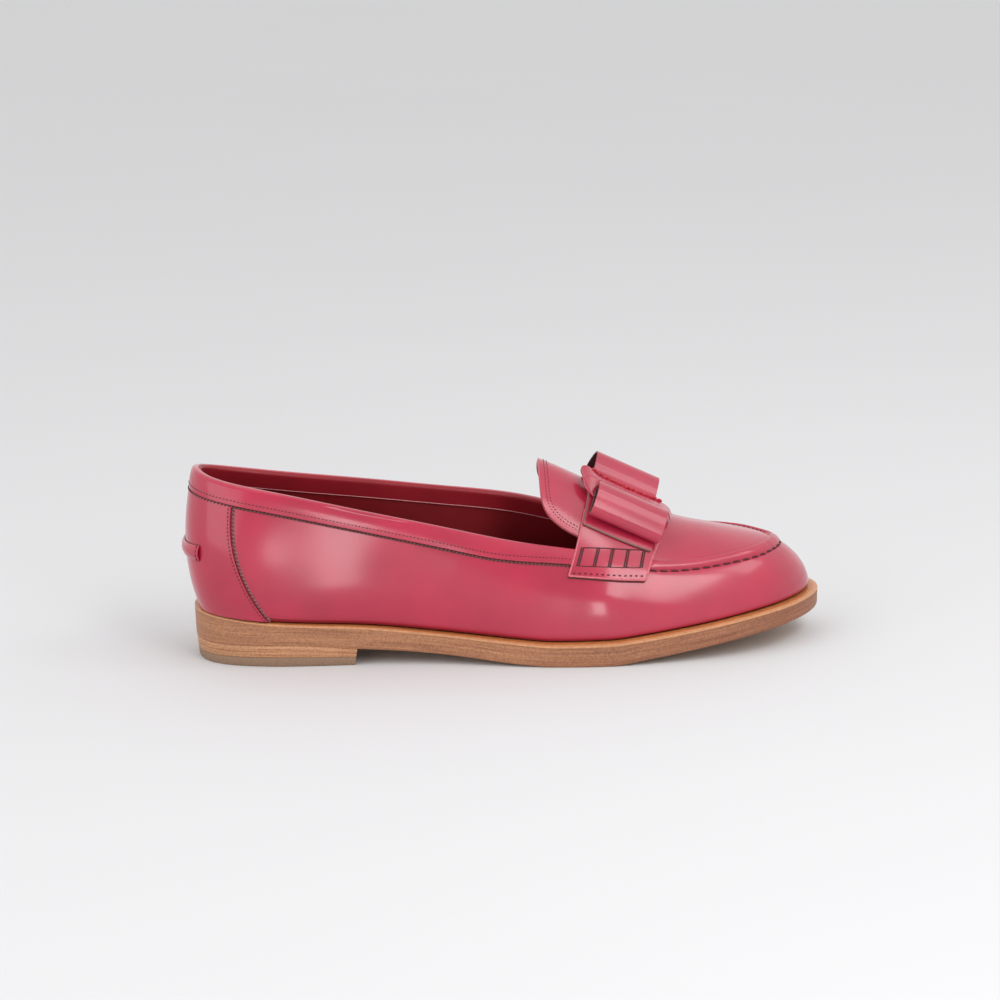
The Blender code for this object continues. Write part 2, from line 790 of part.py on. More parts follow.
def bow_point(along_by, across_by, up_by):
    """Point at distances along, across and off the instep from the middle of the bow."""
    middle, along, across, away = bow_frame()
    e, y, n = np.broadcast_arrays(along_by, across_by, up_by)
    return middle + along * e[..., None] + across * y[..., None] + away * n[..., None]


def make_bow_loop(name, side, section, span):
    """Ribbon turned back on itself: side is -1 for the outer loop, 1 for the inner."""
    path = rounded_path(section, LOOP_SPAN_STEPS)
    lean = path_normals(path) * BOW_RIBBON / 2
    off_band = np.abs(side * path[:, 0] - np.mean(KNOT_SIDES)) - np.ptp(KNOT_SIDES) / 2
    gather = BOW_GATHER * np.clip(1 - off_band / BOW_GATHER_ENDS, 0, 1)
    share = np.linspace(0, 1, LOOP_ROWS)[:, None]
    along_by = span[1] - (np.ptp(span) - gather) * (1 - share)
    sheets = [bow_point(along_by, side * line[:, 0], line[:, 1]).reshape(-1, 3)
              for line in (path + lean, path - lean)]
    faces = grid_faces(LOOP_ROWS, len(path))
    if side < 0:
        faces = [tuple(reversed(face)) for face in faces]
    verts, faces = close_sheet(sheets[0], sheets[1], faces)
    return finish(name, verts, faces, RED_LEATHER)


def make_bow_knot():
    """Band over the middle of the bow, turned down at the front and flared into a wing at the back."""
    lateral = rounded_path(KNOT_LATERAL, KNOT_SPAN_STEPS)[:, None]
    medial = rounded_path(KNOT_MEDIAL, KNOT_SPAN_STEPS)[:, None]
    grid = lateral + (medial - lateral) * np.linspace(0, 1, KNOT_COLUMNS)[:, None]
    points = bow_point(*np.moveaxis(grid, -1, 0)).reshape(-1, 3)
    faces = grid_faces(len(lateral), KNOT_COLUMNS)
    lean = sheet_normals(points, faces) * KNOT_THICKNESS / 2
    verts, faces = close_sheet(points + lean, points - lean, faces)
    return finish("bow_knot", verts, faces, RED_LEATHER)


def stand_on_origin():
    """Hang every piece on one empty that sets the middle of the footprint on the origin."""
    pieces = list(bpy.data.objects)
    corners = np.concatenate([[v.co for v in piece.data.vertices] for piece in pieces])
    low = corners.min(axis=0)
    high = corners.max(axis=0)
    carrier = bpy.data.objects.new("loafer", None)
    bpy.context.collection.objects.link(carrier)
    carrier.location = (-(low[0] + high[0]) / 2, -(low[1] + high[1]) / 2, -low[2])
    for piece in pieces:
        piece.parent = carrier


clear_scene()
make_outsole()
make_welt()
make_insole()
make_heel()
make_upper()
make_tongue()
make_binding()
make_counter()
make_heel_tab()
make_strap()
make_bow_loop("bow_loop_lateral", -1, LATERAL_LOOP, LATERAL_SPAN)
make_bow_loop("bow_loop_medial", 1, MEDIAL_LOOP, MEDIAL_SPAN)
make_bow_knot()
stand_on_origin()
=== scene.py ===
"""Looks of the red loafer: leather skins, seams, stitches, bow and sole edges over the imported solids.

Lengths are millimetres in the shoe's own frame (X from the back of the sole to the toe, Y to the
inner side, Z up from the floor). place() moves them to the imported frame, in metres.
"""

import bpy
import numpy as np
from mathutils import Matrix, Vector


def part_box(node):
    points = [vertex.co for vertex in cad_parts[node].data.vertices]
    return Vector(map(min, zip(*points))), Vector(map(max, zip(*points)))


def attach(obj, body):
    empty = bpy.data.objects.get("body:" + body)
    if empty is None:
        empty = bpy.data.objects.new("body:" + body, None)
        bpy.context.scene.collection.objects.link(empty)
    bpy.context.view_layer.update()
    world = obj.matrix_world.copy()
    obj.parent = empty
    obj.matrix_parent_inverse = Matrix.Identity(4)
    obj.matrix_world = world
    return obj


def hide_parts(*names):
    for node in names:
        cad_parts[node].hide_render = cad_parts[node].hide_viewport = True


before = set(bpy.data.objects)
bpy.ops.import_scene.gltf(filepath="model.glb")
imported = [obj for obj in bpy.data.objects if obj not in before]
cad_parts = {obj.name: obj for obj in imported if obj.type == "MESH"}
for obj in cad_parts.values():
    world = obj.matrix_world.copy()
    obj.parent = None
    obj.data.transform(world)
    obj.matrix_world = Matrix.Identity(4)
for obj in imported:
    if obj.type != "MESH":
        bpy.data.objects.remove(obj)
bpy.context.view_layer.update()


def table(columns, *rows):
    """Short table as named columns of numbers."""
    return {name: np.array(values, float) for name, values in zip(columns.split(), zip(*rows))}


MM = 0.001
BODY = "root"

# The last, one row for each station round the foot: heel, outer side, toe, inner side.
# foot: feather line; ledge: how far the sole stands out; low, high: bulge of the wall at one
# and two thirds of its height; top: collar line at the back, apron seam at the front.
LAST = table(
    "foot_x foot_y ledge low high top_x top_y top_z",
    (2.5, 0.0, 3.3, 4.0, 3.5, 1.6, 0.0, 77.3),
    (8.9, -18.7, 1.9, 3.3, 2.8, 10.0, -15.4, 75.2),
    (34.0, -27.3, 1.7, 2.2, 1.7, 38.0, -22.3, 69.2),
    (69.0, -28.3, 2.0, 2.5, 2.2, 71.0, -24.3, 61.6),
    (102.0, -30.8, 2.6, 2.6, 2.6, 103.0, -26.2, 54.4),
    (132.9, -37.4, 3.2, 2.6, 3.0, 134.0, -28.0, 47.6),
    (163.0, -40.6, 3.6, 2.5, 3.3, 163.0, -28.8, 43.0),
    (193.2, -38.0, 3.6, 2.3, 2.8, 192.0, -26.5, 38.0),
    (224.8, -29.4, 3.4, 2.5, 2.9, 220.3, -18.0, 38.9),
    (245.7, -12.9, 3.3, 3.1, 3.5, 232.2, -9.0, 40.0),
    (253.2, 5.5, 3.4, 3.5, 3.9, 237.3, 2.5, 40.5),
    (247.1, 22.4, 3.4, 3.7, 4.0, 232.2, 13.0, 40.6),
    (227.6, 34.8, 3.6, 3.1, 3.5, 220.3, 20.5, 41.5),
    (198.0, 40.2, 3.8, 2.8, 3.3, 192.0, 26.5, 43.0),
    (166.9, 38.6, 3.8, 2.6, 3.2, 163.0, 28.5, 47.2),
    (134.0, 29.5, 3.4, 3.0, 3.0, 134.0, 28.0, 54.9),
    (101.0, 22.0, 2.4, 2.8, 2.6, 103.0, 26.0, 59.8),
    (68.0, 24.3, 2.0, 2.6, 2.2, 71.0, 24.3, 64.3),
    (34.0, 27.0, 1.6, 2.5, 2.0, 38.0, 22.3, 68.7),
    (8.9, 18.7, 1.9, 3.3, 2.8, 10.0, 15.4, 74.0),
)
STATIONS = len(LAST["foot_x"])
TOE = STATIONS // 2
SOLE_PROFILE = table(
    "x bottom top",
    (-2.0, 8.9, 21.9),
    (10.0, 8.9, 20.5),
    (35.0, 9.0, 18.1),
    (67.0, 6.9, 16.3),
    (100.0, 4.3, 13.0),
    (130.0, 1.0, 10.4),
    (145.0, 0.0, 9.4),
    (168.0, 0.0, 9.7),
    (181.0, 1.7, 10.9),
    (204.0, 4.9, 13.6),
    (230.0, 8.4, 16.8),
    (258.0, 11.2, 19.0),
)
HEEL_PROFILE = table(
    "x joint rubber",
    (0.0, 6.1, 3.7),
    (37.0, 6.4, 4.0),
    (70.0, 4.9, 3.4),
)
CREST = table(
    "x z",
    (138.0, 78.2),
    (150.0, 72.8),
    (163.0, 66.2),
    (178.0, 58.8),
    (190.0, 53.0),
    (200.0, 49.0),
    (210.0, 46.5),
    (222.0, 43.8),
    (232.0, 41.8),
    (237.3, 40.5),
)
# Rolled apron seam in section: x is the distance below its edge, negative on the apron.
SEAM_SECTION = table(
    "x rise",
    (-3.0, 0.0),
    (-1.3, -0.08),
    (-0.75, -0.14),
    (-0.5, 0.12),
    (-0.2, 0.78),
    (0.0, 0.95),
    (0.6, 1.12),
    (1.4, 1.1),
    (2.2, 0.78),
    (2.75, 0.12),
    (3.1, -0.3),
    (3.5, -0.06),
    (4.6, 0.0),
    (9.0, 0.0),
)
# Bow loops in section: distance to their own side of the instep's middle, height over it.
LATERAL_LOOP = table(
    "out up",
    (12.6, 2.3),
    (17.0, 0.8),
    (21.0, -2.0),
    (23.4, -4.6),
    (25.0, -5.6),
    (26.1, -4.6),
    (26.0, -2.2),
    (24.3, 0.8),
    (21.2, 3.7),
    (17.8, 5.3),
    (15.0, 5.6),
    (12.9, 5.2),
    (11.5, 4.1),
    (9.6, 3.1),
    (6.2, 2.95),
)
MEDIAL_LOOP = table(
    "out up",
    (4.5, 3.0),
    (8.5, 2.2),
    (12.5, 0.6),
    (15.8, -0.6),
    (17.8, -1.6),
    (19.2, -2.1),
    (20.1, -1.2),
    (20.3, 0.8),
    (19.2, 3.8),
    (17.0, 6.9),
    (14.4, 9.1),
    (11.6, 10.0),
    (8.8, 9.5),
    (5.2, 7.4),
    (1.8, 5.0),
    (-0.8, 3.75),
    (-3.0, 3.35),
    (-5.0, 3.3),
)
# Long edges of the band over the bow: distance along the instep, across it and off it.
KNOT_LATERAL = table(
    "along across up",
    (-15.6, -15.0, -0.8),
    (-18.7, -13.6, 0.4),
    (-21.0, -11.2, 2.6),
    (-21.0, -9.6, 4.3),
    (-18.6, -9.0, 4.9),
    (-14.5, -9.0, 4.6),
    (-7.0, -9.2, 4.5),
    (2.0, -9.2, 4.5),
    (9.0, -9.2, 4.5),
    (13.0, -9.2, 4.5),
    (16.1, -9.2, 3.6),
    (18.2, -9.2, 1.3),
)
KNOT_MEDIAL = table(
    "along across up",
    (-20.8, -4.2, 2.2),
    (-22.6, -3.8, 4.0),
    (-22.7, -3.4, 5.8),
    (-21.2, -3.2, 6.5),
    (-18.8, -3.2, 6.0),
    (-15.0, -3.2, 4.8),
    (-7.0, -3.2, 4.4),
    (2.0, -3.2, 4.4),
    (9.0, -3.2, 4.6),
    (13.0, -3.2, 4.7),
    (16.4, -3.2, 4.0),
    (18.9, -3.2, 2.0),
)
# Folds along a loop, on its way back from the band: distance, depth and half width.
LOOP_FOLDS = table(
    "spot deep wide",
    (7.4, 0.10, 0.35),
    (10.2, 0.16, 0.45),
    (12.0, 0.12, 0.35),
    (13.6, 0.14, 0.4),
    (16.4, 0.10, 0.6),
)
# Soft troughs in the outer side of the upper: middle, half length, half width, depth, lean in
# degrees. A negative depth is a ridge.
CREASES = table(
    "x z long wide depth lean",
    (14.0, 44.0, 24.0, 18.0, -2.2, 90.0),
    (70.0, 40.0, 22.0, 18.0, 0.6, 90.0),
    (48.0, 26.0, 38.0, 9.0, -0.75, 0.0),
    (103.0, 31.0, 13.0, 5.0, 0.12, 62.0),
    (167.0, 27.0, 16.0, 11.0, -1.0, 90.0),
)
CREASE_FADE = 18.0

# Sizes of the solids
GAP = 0.3
WALL = 1.8
ARCH_POWER = 1.9
OVERLAY = 0.8
WELT_SLOPE = 0.16
INSOLE_THICKNESS = 2.4
BREAST_TOP_X = 65.8
BREAST_FLOOR_X = 64.9
BREAST_HOLLOW = 2.0
HEEL_STATIONS = 4.0
HEEL_TAPER = (0.45, 0.6, 0.8, 1.1)
OUTSOLE_BEVEL = 0.9
SOLE_ROUNDING = 0.9
SOLE_DRAFT = 0.2
LEDGE_SIDE = 0.75
WELT_JOINT = 0.05
HEEL_BEVEL = 0.35
BEVEL_GROWS = (58.0, 80.0)
APRON_BACK = 6.0
SEAM_START = (6.66, 6.76)
SEAM_WIDTH = 3.1
TONGUE_TIP = 5.27
TONGUE_SIDE = 5.78
TONGUE_FRONT = 5.97
TONGUE_HALF = 0.87
TONGUE_CORNER = 10.0
STRAP_BACK = (5.62, 5.96)
STRAP_FRONT = (6.66, 7.04)
STRAP_SEAM = 0.835
STRAP_DROP = (0.26, 0.245)
STRAP_CLEAR = 0.4
STRAP_THICKNESS = 1.1
STRAP_TOP = STRAP_CLEAR + STRAP_THICKNESS
PLATE_HALF = (0.64, 0.75)
PLATE_SPAN = (0.01, 0.95)
BOW_PLATE = 0.8
COUNTER_CLEAR = 0.4
COUNTER_TOP = 1.36
COUNTER_FLARE = 0.52
COUNTER_FLARE_POWER = 2.2
TAB_HALF_STATION = 0.93
TAB_MIDDLE = 46.6
TAB_HEIGHT = 6.3
TAB_THICKNESS = 0.9
TAB_CROWN = 1.1
BINDING_END = (5.68, 5.735)
BINDING_WIDTH = 7.1
BINDING_NARROWING = 2.0
BINDING_NARROWS_AT = 4.4
BINDING_PUFF = 0.25
INSTEP_SLOPE_DEG = 25.8
BOW_TILT_DEG = 4.2
BOW_MIDDLE_X = 177.8
BOW_GATHER = 2.0
BOW_GATHER_ENDS = 6.0
BOW_RIBBON = 0.8
KNOT_SIDES = (-9.2, -3.2)
KNOT_THICKNESS = 0.8
LATERAL_SPAN = (-16.0, 14.5)
MEDIAL_SPAN = (-17.2, 10.9)
GATHERS = (-18.5, 13.2)

# Surface detail
SKIN = 1.0
LINING_GAP = 0.05
TUCK = 0.7
TUCK_DROP = 0.25
TUCK_CURL = 0.85
TUCK_REACH = 3.0
PUCKER = 0.12
PUCKER_REACH = 2.6
MOC_PITCH = 4.5
STITCH_PITCH = 1.5
STITCH_LENGTH = 0.95
STITCH_RADIUS = 0.26
CORD_WIDTH = 0.55
CORD_HEIGHT = 0.45
CORD_PITCH = 1.6
BAND_WIDTH = 0.75
BINDING_ROW = 1.7
COUNTER_ROW = 0.8
TONGUE_ROWS = (2.2, 3.5)
FACING_WIDTH = 6.5
FACING_THINS = 0.45
FACING_LINE = 0.24
FOLD_RISE = 1.25
FAR_INSET = 1.3
TAB_ROW_HALF = 0.56
SEATED = 0.1
CORD_DROP = 0.55
CORD_LIFT = -0.1
CORD_CLIMB = 0.75
TONGUE_ROUND = 0.45
STRAP_ROUND = 0.35
PATCH_ROUND = 0.3
THIN_ROUND = 0.2
# Rows of thread: pitch, length, radius, lift off the leather and slant in degrees.
MOC_THREAD = (MOC_PITCH, 4.0, 0.4, -0.25, -7.0)
MOC_FAR_THREAD = (MOC_PITCH / 2, 1.6, 0.24)
TONGUE_THREAD = (1.4, 0.75, 0.17)
TAB_THREAD = (1.7, 1.6, 0.2, GAP + OVERLAY + TAB_THICKNESS - 0.35)
STRAP_THREAD = (2.2, 1.2, 0.3, STRAP_TOP)
GATHER_THREAD = (1.3, 2.0, 0.3, 0.35, 62.0)
# Whipped edges: radius, lift and slant.
WHIP_THREAD = (0.3, 0.2, 50.0)
# Thin edges and bars: radius, and lift off the surface under them.
TAB_RIM = (0.2, GAP + OVERLAY + 0.15)
# Strap rim: pale tube of painted highlight. Strap shadow: dark tube of painted shadow.
STRAP_RIM = (0.45, STRAP_TOP - 0.35)
STRAP_SHADOW = (0.3, 0.1)
PLATE_FLANK = (0.5, STRAP_TOP + 0.6)
PLATE_BACK = (0.4, STRAP_TOP + 0.6)
RUNG = (0.3, STRAP_TOP + 0.05)

# Mesh densities
FINE = 12
WALL_STEPS = 24
WALL_TOP = 8.5
WALL_DROPS = (7.5, 6.5, 5.6, 4.8, 4.2, 3.8, 3.5, 3.3, 3.1, 2.9,
              2.7, 2.4, 2.0, 1.6, 1.2, 0.8, 0.5, 0.25, 0.1, 0.0)
APRON_INSETS = (0.12, 0.25, 0.4, 0.55, 0.75, 1.0, 1.4, 2.0, 3.0)
APRON_MIDDLE = 25
FACING_COLUMNS = 12
THREAD_RINGS = 6
THREAD_SIDES = 6
CORD_SIDES = 8
SHARP_ANGLE = np.radians(50)


def smooth(profile, column, x):
    """Monotone cubic through a column of a profile, read at x."""
    knots = profile["x"]
    values = profile[column]
    width = np.diff(knots)
    rise = np.diff(values) / width
    slope = np.zeros(len(knots))
    same = rise[:-1] * rise[1:] > 0
    pair = np.where(same, rise[:-1] + rise[1:], 1.0)
    slope[1:-1] = np.where(same, 2.0 * rise[:-1] * rise[1:] / pair, 0.0)
    slope[0] = rise[0]
    slope[-1] = rise[-1]
    x = np.clip(x, knots[0], knots[-1])
    i = np.clip(np.searchsorted(knots, x, side="right") - 1, 0, len(width) - 1)
    h = width[i]
    t = (x - knots[i]) / h
    near = (1 + 2 * t) * (1 - t) ** 2 * values[i] + t * (1 - t) ** 2 * h * slope[i]
    far = t * t * (3 - 2 * t) * values[i + 1] + t * t * (t - 1) * h * slope[i + 1]
    return near + far


def progress(value, start, end):
    """How far a value has come from start to end, between 0 and 1."""
    return np.clip((value - start) / (end - start), 0, 1)


def ease(t):
    """The same share with a soft start and a soft end."""
    return t * t * (3 - 2 * t)


def closed_spline_bend(values):
    """Second derivatives of the closed cubic spline through values one station apart."""
    turn = np.eye(len(values))
    system = 4 * turn + np.roll(turn, 1, axis=0) + np.roll(turn, -1, axis=0)
    return np.linalg.solve(system, 6 * (np.roll(values, 1) - 2 * values + np.roll(values, -1)))


LAST_BEND = {name: closed_spline_bend(values) for name, values in LAST.items()}


def last_at(s):
    """Columns of the last, and their rate of change, at station s."""
    s = np.asarray(s, float) % STATIONS
    i = np.floor(s).astype(int) % STATIONS
    j = (i + 1) % STATIONS
    t = s - np.floor(s)
    row = {}
    rate = {}
    for name, values in LAST.items():
        bend = LAST_BEND[name]
        row[name] = (values[i] * (1 - t) + values[j] * t
                     + ((1 - t) ** 3 - (1 - t)) * bend[i] / 6 + (t ** 3 - t) * bend[j] / 6)
        rate[name] = (values[j] - values[i]
                      + (1 - 3 * (1 - t) ** 2) * bend[i] / 6 + (3 * t ** 2 - 1) * bend[j] / 6)
    return row, rate


def stack(x, y, z):
    return np.stack(np.broadcast_arrays(x, y, z), axis=-1).astype(float)


def unit(v):
    return v / np.maximum(np.linalg.norm(v, axis=-1, keepdims=True), 1e-9)


def outward(s):
    """Level direction out of the foot at station s."""
    rate = last_at(s)[1]
    return unit(stack(rate["foot_y"], -rate["foot_x"], 0.0))


def sole_bottom(x):
    return smooth(SOLE_PROFILE, "bottom", x)


def welt_top(x):
    return smooth(SOLE_PROFILE, "top", x)


def outline(s, offset):
    """Plan points at a distance outside the feather line."""
    row = last_at(s)[0]
    return stack(row["foot_x"], row["foot_y"], 0.0) + outward(s) * np.asarray(offset)[..., None]


def foot(s):
    row = last_at(s)[0]
    return stack(row["foot_x"], row["foot_y"], welt_top(row["foot_x"]) + GAP)


def top(s):
    row = last_at(s)[0]
    return stack(row["top_x"], row["top_y"], row["top_z"])


def wall_length(s):
    return np.linalg.norm(top(s) - foot(s), axis=-1)


def bulge(w, own, other):
    """Cubic that is 1 at its own height and 0 at the other and at both edges."""
    return w * (w - other) * (w - 1) / (own * (own - other) * (own - 1))


def wall(s, w):
    """Outer face of the upper's wall: w is 0 at the feather line and 1 at the top edge."""
    s, w = np.broadcast_arrays(np.asarray(s, float), np.asarray(w, float))
    row = last_at(s)[0]
    swell = bulge(w, 1 / 3, 2 / 3) * row["low"] + bulge(w, 2 / 3, 1 / 3) * row["high"]
    base = foot(s)
    smooth_wall = base + (top(s) - base) * w[..., None] + outward(s) * swell[..., None]
    return smooth_wall - outward(s) * crease_depth(smooth_wall)[..., None]


def crease_depth(points):
    """Depth of the soft troughs on the outer side, which fade out towards the middle of the heel."""
    depth = np.zeros(points.shape[:-1])
    for x, z, long, wide, deep, lean in zip(*CREASES.values()):
        c = np.cos(np.radians(lean))
        k = np.sin(np.radians(lean))
        dx = points[..., 0] - x
        dz = points[..., 2] - z
        run = (dx * c + dz * k) / long
        off = (dz * c - dx * k) / wide
        depth += deep * np.exp(-run ** 2 - off ** 2)
    return depth * ease(progress(-points[..., 1], 0.0, CREASE_FADE))


def apron(s, u):
    """Top of the instep between the two seams: u is -1 at the outer side, 1 at the inner."""
    s, u = np.broadcast_arrays(np.asarray(s, float), np.asarray(u, float))
    outer = top(s)
    inner = top(STATIONS - s)
    middle = (outer + inner) / 2
    rise = smooth(CREST, "z", middle[..., 0]) - middle[..., 2]
    lift = rise * (1 - np.abs(u) ** ARCH_POWER)
    chord = middle + (inner - outer) / 2 * u[..., None]
    return chord + stack(0.0, 0.0, lift)


def surface_normal(surface, a, b, step=0.02):
    along = surface(a + step, b) - surface(a - step, b)
    across = surface(a, b + step) - surface(a, b - step)
    return unit(np.cross(along, across))


def points_on(surface, a, b):
    """Points of a surface and its normals there."""
    return surface(a, b), surface_normal(surface, a, b)


def packed_shift():
    """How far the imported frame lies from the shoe's own, read from the outsole's lowest corner."""
    s = np.arange(4 * STATIONS) / 4
    corner = outline(s, last_at(s)[0]["ledge"]).min(axis=0)
    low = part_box("outsole")[0]
    return np.array([low.x / MM - corner[0], low.y / MM - corner[1], 0.0])


SHIFT = packed_shift()


def place(points):
    return (np.asarray(points, float).reshape(-1, 3) + SHIFT) * MM


# Meshes

def grid_faces(rows, columns, wrap=False):
    """Quads of a grid stored row by row; wrap joins the last row to the first."""
    i = np.arange(rows if wrap else rows - 1)[:, None]
    j = np.arange(columns - 1)[None, :]
    k = (i + 1) % rows
    corners = (i * columns + j, k * columns + j, k * columns + j + 1, i * columns + j + 1)
    return np.stack(np.broadcast_arrays(*corners), axis=-1).reshape(-1, 4)


def ring_faces(rings, count, closed=False):
    """Quads between rings of count points, first ring at the bottom; closed joins last to first."""
    low = np.arange(rings if closed else rings - 1)[:, None] * count
    high = (low + count) % (rings * count)
    i = np.arange(count)[None, :]
    j = (i + 1) % count
    return np.stack(np.broadcast_arrays(low + i, low + j, high + j, high + i), axis=-1).reshape(-1, 4)


def tube_faces(rings, sides):
    """Quads round a tube stored ring by ring, and across its two ends."""
    around = np.roll(ring_faces(rings, sides)[:, ::-1], 1, axis=1)
    k = np.arange(1, sides - 1, 2)
    fan = np.stack([0 * k, k, k + 1, (k + 2) % sides], axis=-1)
    return np.concatenate([around, sides - 1 - fan, (rings - 1) * sides + fan])


def close_sheet(outer, inner, quads):
    """Closed solid between two sheets with the same quads: outer faces, inner faces, then the rim."""
    count = len(outer)
    starts = quads.reshape(-1)
    ends = np.roll(quads, -1, axis=1).reshape(-1)
    edges = set(zip(starts.tolist(), ends.tolist()))
    rim = sorted((b, a, a + count, b + count) for a, b in edges if a != b and (b, a) not in edges)
    return np.concatenate([outer, inner]), np.concatenate([quads, quads[:, ::-1] + count, np.array(rim)])


def join(parts):
    """One list of points and faces from several."""
    verts = []
    faces = []
    count = 0
    for points, quads in parts:
        verts.append(points)
        faces.append(quads + count)
        count += len(points)
    return np.concatenate(verts), np.concatenate(faces)


def make_piece(name, verts, faces, materials, node=None, finishes=None, round_edges=0.0,
               slot="upper_leather", edge=None):
    """Named mesh that rides on the shoe, in place of a node; finishes gives each face's material."""
    mesh = bpy.data.meshes.new(name)
    rings = [list(dict.fromkeys(face)) for face in np.asarray(faces).tolist()]
    mesh.from_pydata(place(verts).tolist(), [], rings)
    for material in materials:
        mesh.materials.append(material)
    if finishes is not None:
        mesh.polygons.foreach_set("material_index", np.asarray(finishes, np.int32))
    if edge is not None:
        layer = mesh.attributes.new("edge", "FLOAT_VECTOR", "POINT")
        layer.data.foreach_set("vector", np.asarray(edge, np.float32).reshape(-1))
    mesh.shade_smooth()
    mesh.set_sharp_from_angle(angle=SHARP_ANGLE)
    piece = bpy.data.objects.new(name, mesh)
    bpy.context.scene.collection.objects.link(piece)
    if round_edges:
        bevel = piece.modifiers.new("rounded_edges", "BEVEL")
        bevel.width = round_edges * MM
        bevel.segments = 2
        bevel.limit_method = "ANGLE"
        bevel.angle_limit = SHARP_ANGLE
        bevel.harden_normals = True
    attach(piece, BODY)
    if node:
        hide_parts(node)


def make_shell(name, outer, inner, quads, looks, node=None, round_edges=0.0, slot="upper_leather"):
    """Piece between two sheets; looks are the materials of its outer side, inner side and rim."""
    verts, faces = close_sheet(outer, inner, quads)
    materials = list(dict.fromkeys(looks))
    counts = (len(quads), len(quads), len(faces) - 2 * len(quads))
    finishes = np.repeat([materials.index(look) for look in looks], counts)
    make_piece(name, verts, faces, materials, node, finishes, round_edges, slot)


def overlay(name, node, surface, lift, thickness, round_edges, edge):
    """Red leather patch on a grid of points and normals; edge is the material of its cut edge."""
    base, away = (grid.reshape(-1, 3) for grid in surface)
    quads = grid_faces(*surface[0].shape[:2])
    make_shell(name, base + away * (lift + thickness), base + away * lift, quads, (RED, RED, edge), node,
               round_edges)


def arc_length(path):
    steps = np.linalg.norm(np.diff(path, axis=0), axis=-1)
    return np.concatenate([[0.0], np.cumsum(steps)])


def along_path(path, distance):
    """Values of a dense path at distances along its first three columns."""
    run = arc_length(path[:, :3])
    return np.stack([np.interp(distance, run, path[:, k]) for k in range(path.shape[1])], axis=-1)


def stitches(path, normals, pitch=STITCH_PITCH, length=STITCH_LENGTH, radius=STITCH_RADIUS, lift=0.0,
             slant=0.0):
    """Row of short threads that dip into the leather at both ends; slant turns them, in degrees."""
    total = arc_length(path)[-1]
    count = max(int(total / pitch), 1)
    spots = (np.arange(count) + 0.5) * total / count
    here = along_path(np.concatenate([path, normals], axis=1), spots)
    ahead = along_path(path, np.minimum(spots + 0.2, total))
    behind = along_path(path, np.maximum(spots - 0.2, 0.0))
    up = unit(here[:, 3:])
    run = unit(ahead - behind)
    side = unit(np.cross(up, run))
    turn = np.radians(slant)
    run, side = run * np.cos(turn) + side * np.sin(turn), side * np.cos(turn) - run * np.sin(turn)
    t = np.linspace(-1, 1, THREAD_RINGS)[None, :, None, None]
    angle = (np.arange(THREAD_SIDES) * 2 * np.pi / THREAD_SIDES)[None, None, :, None]
    girth = radius * np.sqrt(np.maximum(1 - t ** 4, 0.04))
    centre = here[:, None, None, :3] + run[:, None, None] * (t * length / 2)
    centre = centre + up[:, None, None] * (lift + radius * (0.5 - 0.9 * t ** 4))
    points = centre + girth * (side[:, None, None] * np.cos(angle) + up[:, None, None] * np.sin(angle))
    starts = np.arange(count) * THREAD_RINGS * THREAD_SIDES
    faces = tube_faces(THREAD_RINGS, THREAD_SIDES)[None] + starts[:, None, None]
    return points.reshape(-1, 3), faces.reshape(-1, 4)


def tube(path, normals, radius, lift=0.0, width=None):
    """Round cord along a path; radius is one size or one for each point. A width makes it flat."""
    run = unit(np.gradient(path, axis=0))
    side = unit(np.cross(normals, run))
    up = np.cross(run, side)
    angle = (np.arange(CORD_SIDES) * 2 * np.pi / CORD_SIDES)[None, :, None]
    radius = np.broadcast_to(radius, len(path))[:, None, None]
    half = radius if width is None else width
    centre = (path + up * np.broadcast_to(lift, len(path))[:, None])[:, None]
    points = centre + half * side[:, None] * np.cos(angle) + radius * up[:, None] * np.sin(angle)
    return points.reshape(-1, 3), tube_faces(len(path), CORD_SIDES)


# Materials: features to a metre in their patterns, tones, and where the sole edge's darkening towards the
# toe begins and ends.

CALF_CLOUDS = 45.0
CALF_WAVES = 70.0
CALF_SMEARS = 260.0
CALF_PORES = 1500.0
LAYER_WAVES = 25.0
FIBRES = 1300.0
WHITE = (1.0, 1.0, 1.0)
FIBRE_TONE = (0.55, 0.5, 0.47)
TOE_TONE = (0.78, 0.69, 0.72)
TOE_SHADE = (0.0, 0.1)


def feed(tree, node, **inputs):
    """Sets a node's inputs to numbers, colours or the sockets that lead there."""
    for key, value in inputs.items():
        socket = node.inputs[key.replace("_", " ")]
        if isinstance(value, bpy.types.NodeSocket):
            tree.links.new(value, socket)
        else:
            socket.default_value = value
    return node


def add_node(tree, kind, settings=None, **inputs):
    node = tree.nodes.new(kind)
    for key, value in (settings or {}).items():
        setattr(node, key, value)
    return feed(tree, node, **inputs)


def ramp(tree, factor, low, high, start=0.3, end=0.7):
    """Colour between two tones as a noise goes from start to end."""
    node = add_node(tree, "ShaderNodeValToRGB", Fac=factor)
    for element, place_on, colour in zip(node.color_ramp.elements, (start, end), (low, high)):
        element.position = place_on
        element.color = (*colour, 1.0)
    return node.outputs["Color"]


def multiply(tree, a, b, factor=1.0):
    node = add_node(tree, "ShaderNodeMix", {"data_type": "RGBA", "blend_type": "MULTIPLY"})
    node.inputs["Factor"].default_value = factor
    tree.links.new(a, node.inputs[6])
    tree.links.new(b, node.inputs[7])
    return node.outputs[2]


def span(tree, value, low, high, start=0.0, end=1.0):
    """Number from low to high as a value goes from start to end."""
    return add_node(tree, "ShaderNodeMapRange", Value=value, From_Min=start, From_Max=end, To_Min=low,
                    To_Max=high).outputs["Result"]


def noise(tree, vector, scale, detail=3.0, rough=0.5):
    return add_node(tree, "ShaderNodeTexNoise", Vector=vector, Scale=scale, Detail=detail,
                    Roughness=rough).outputs["Fac"]


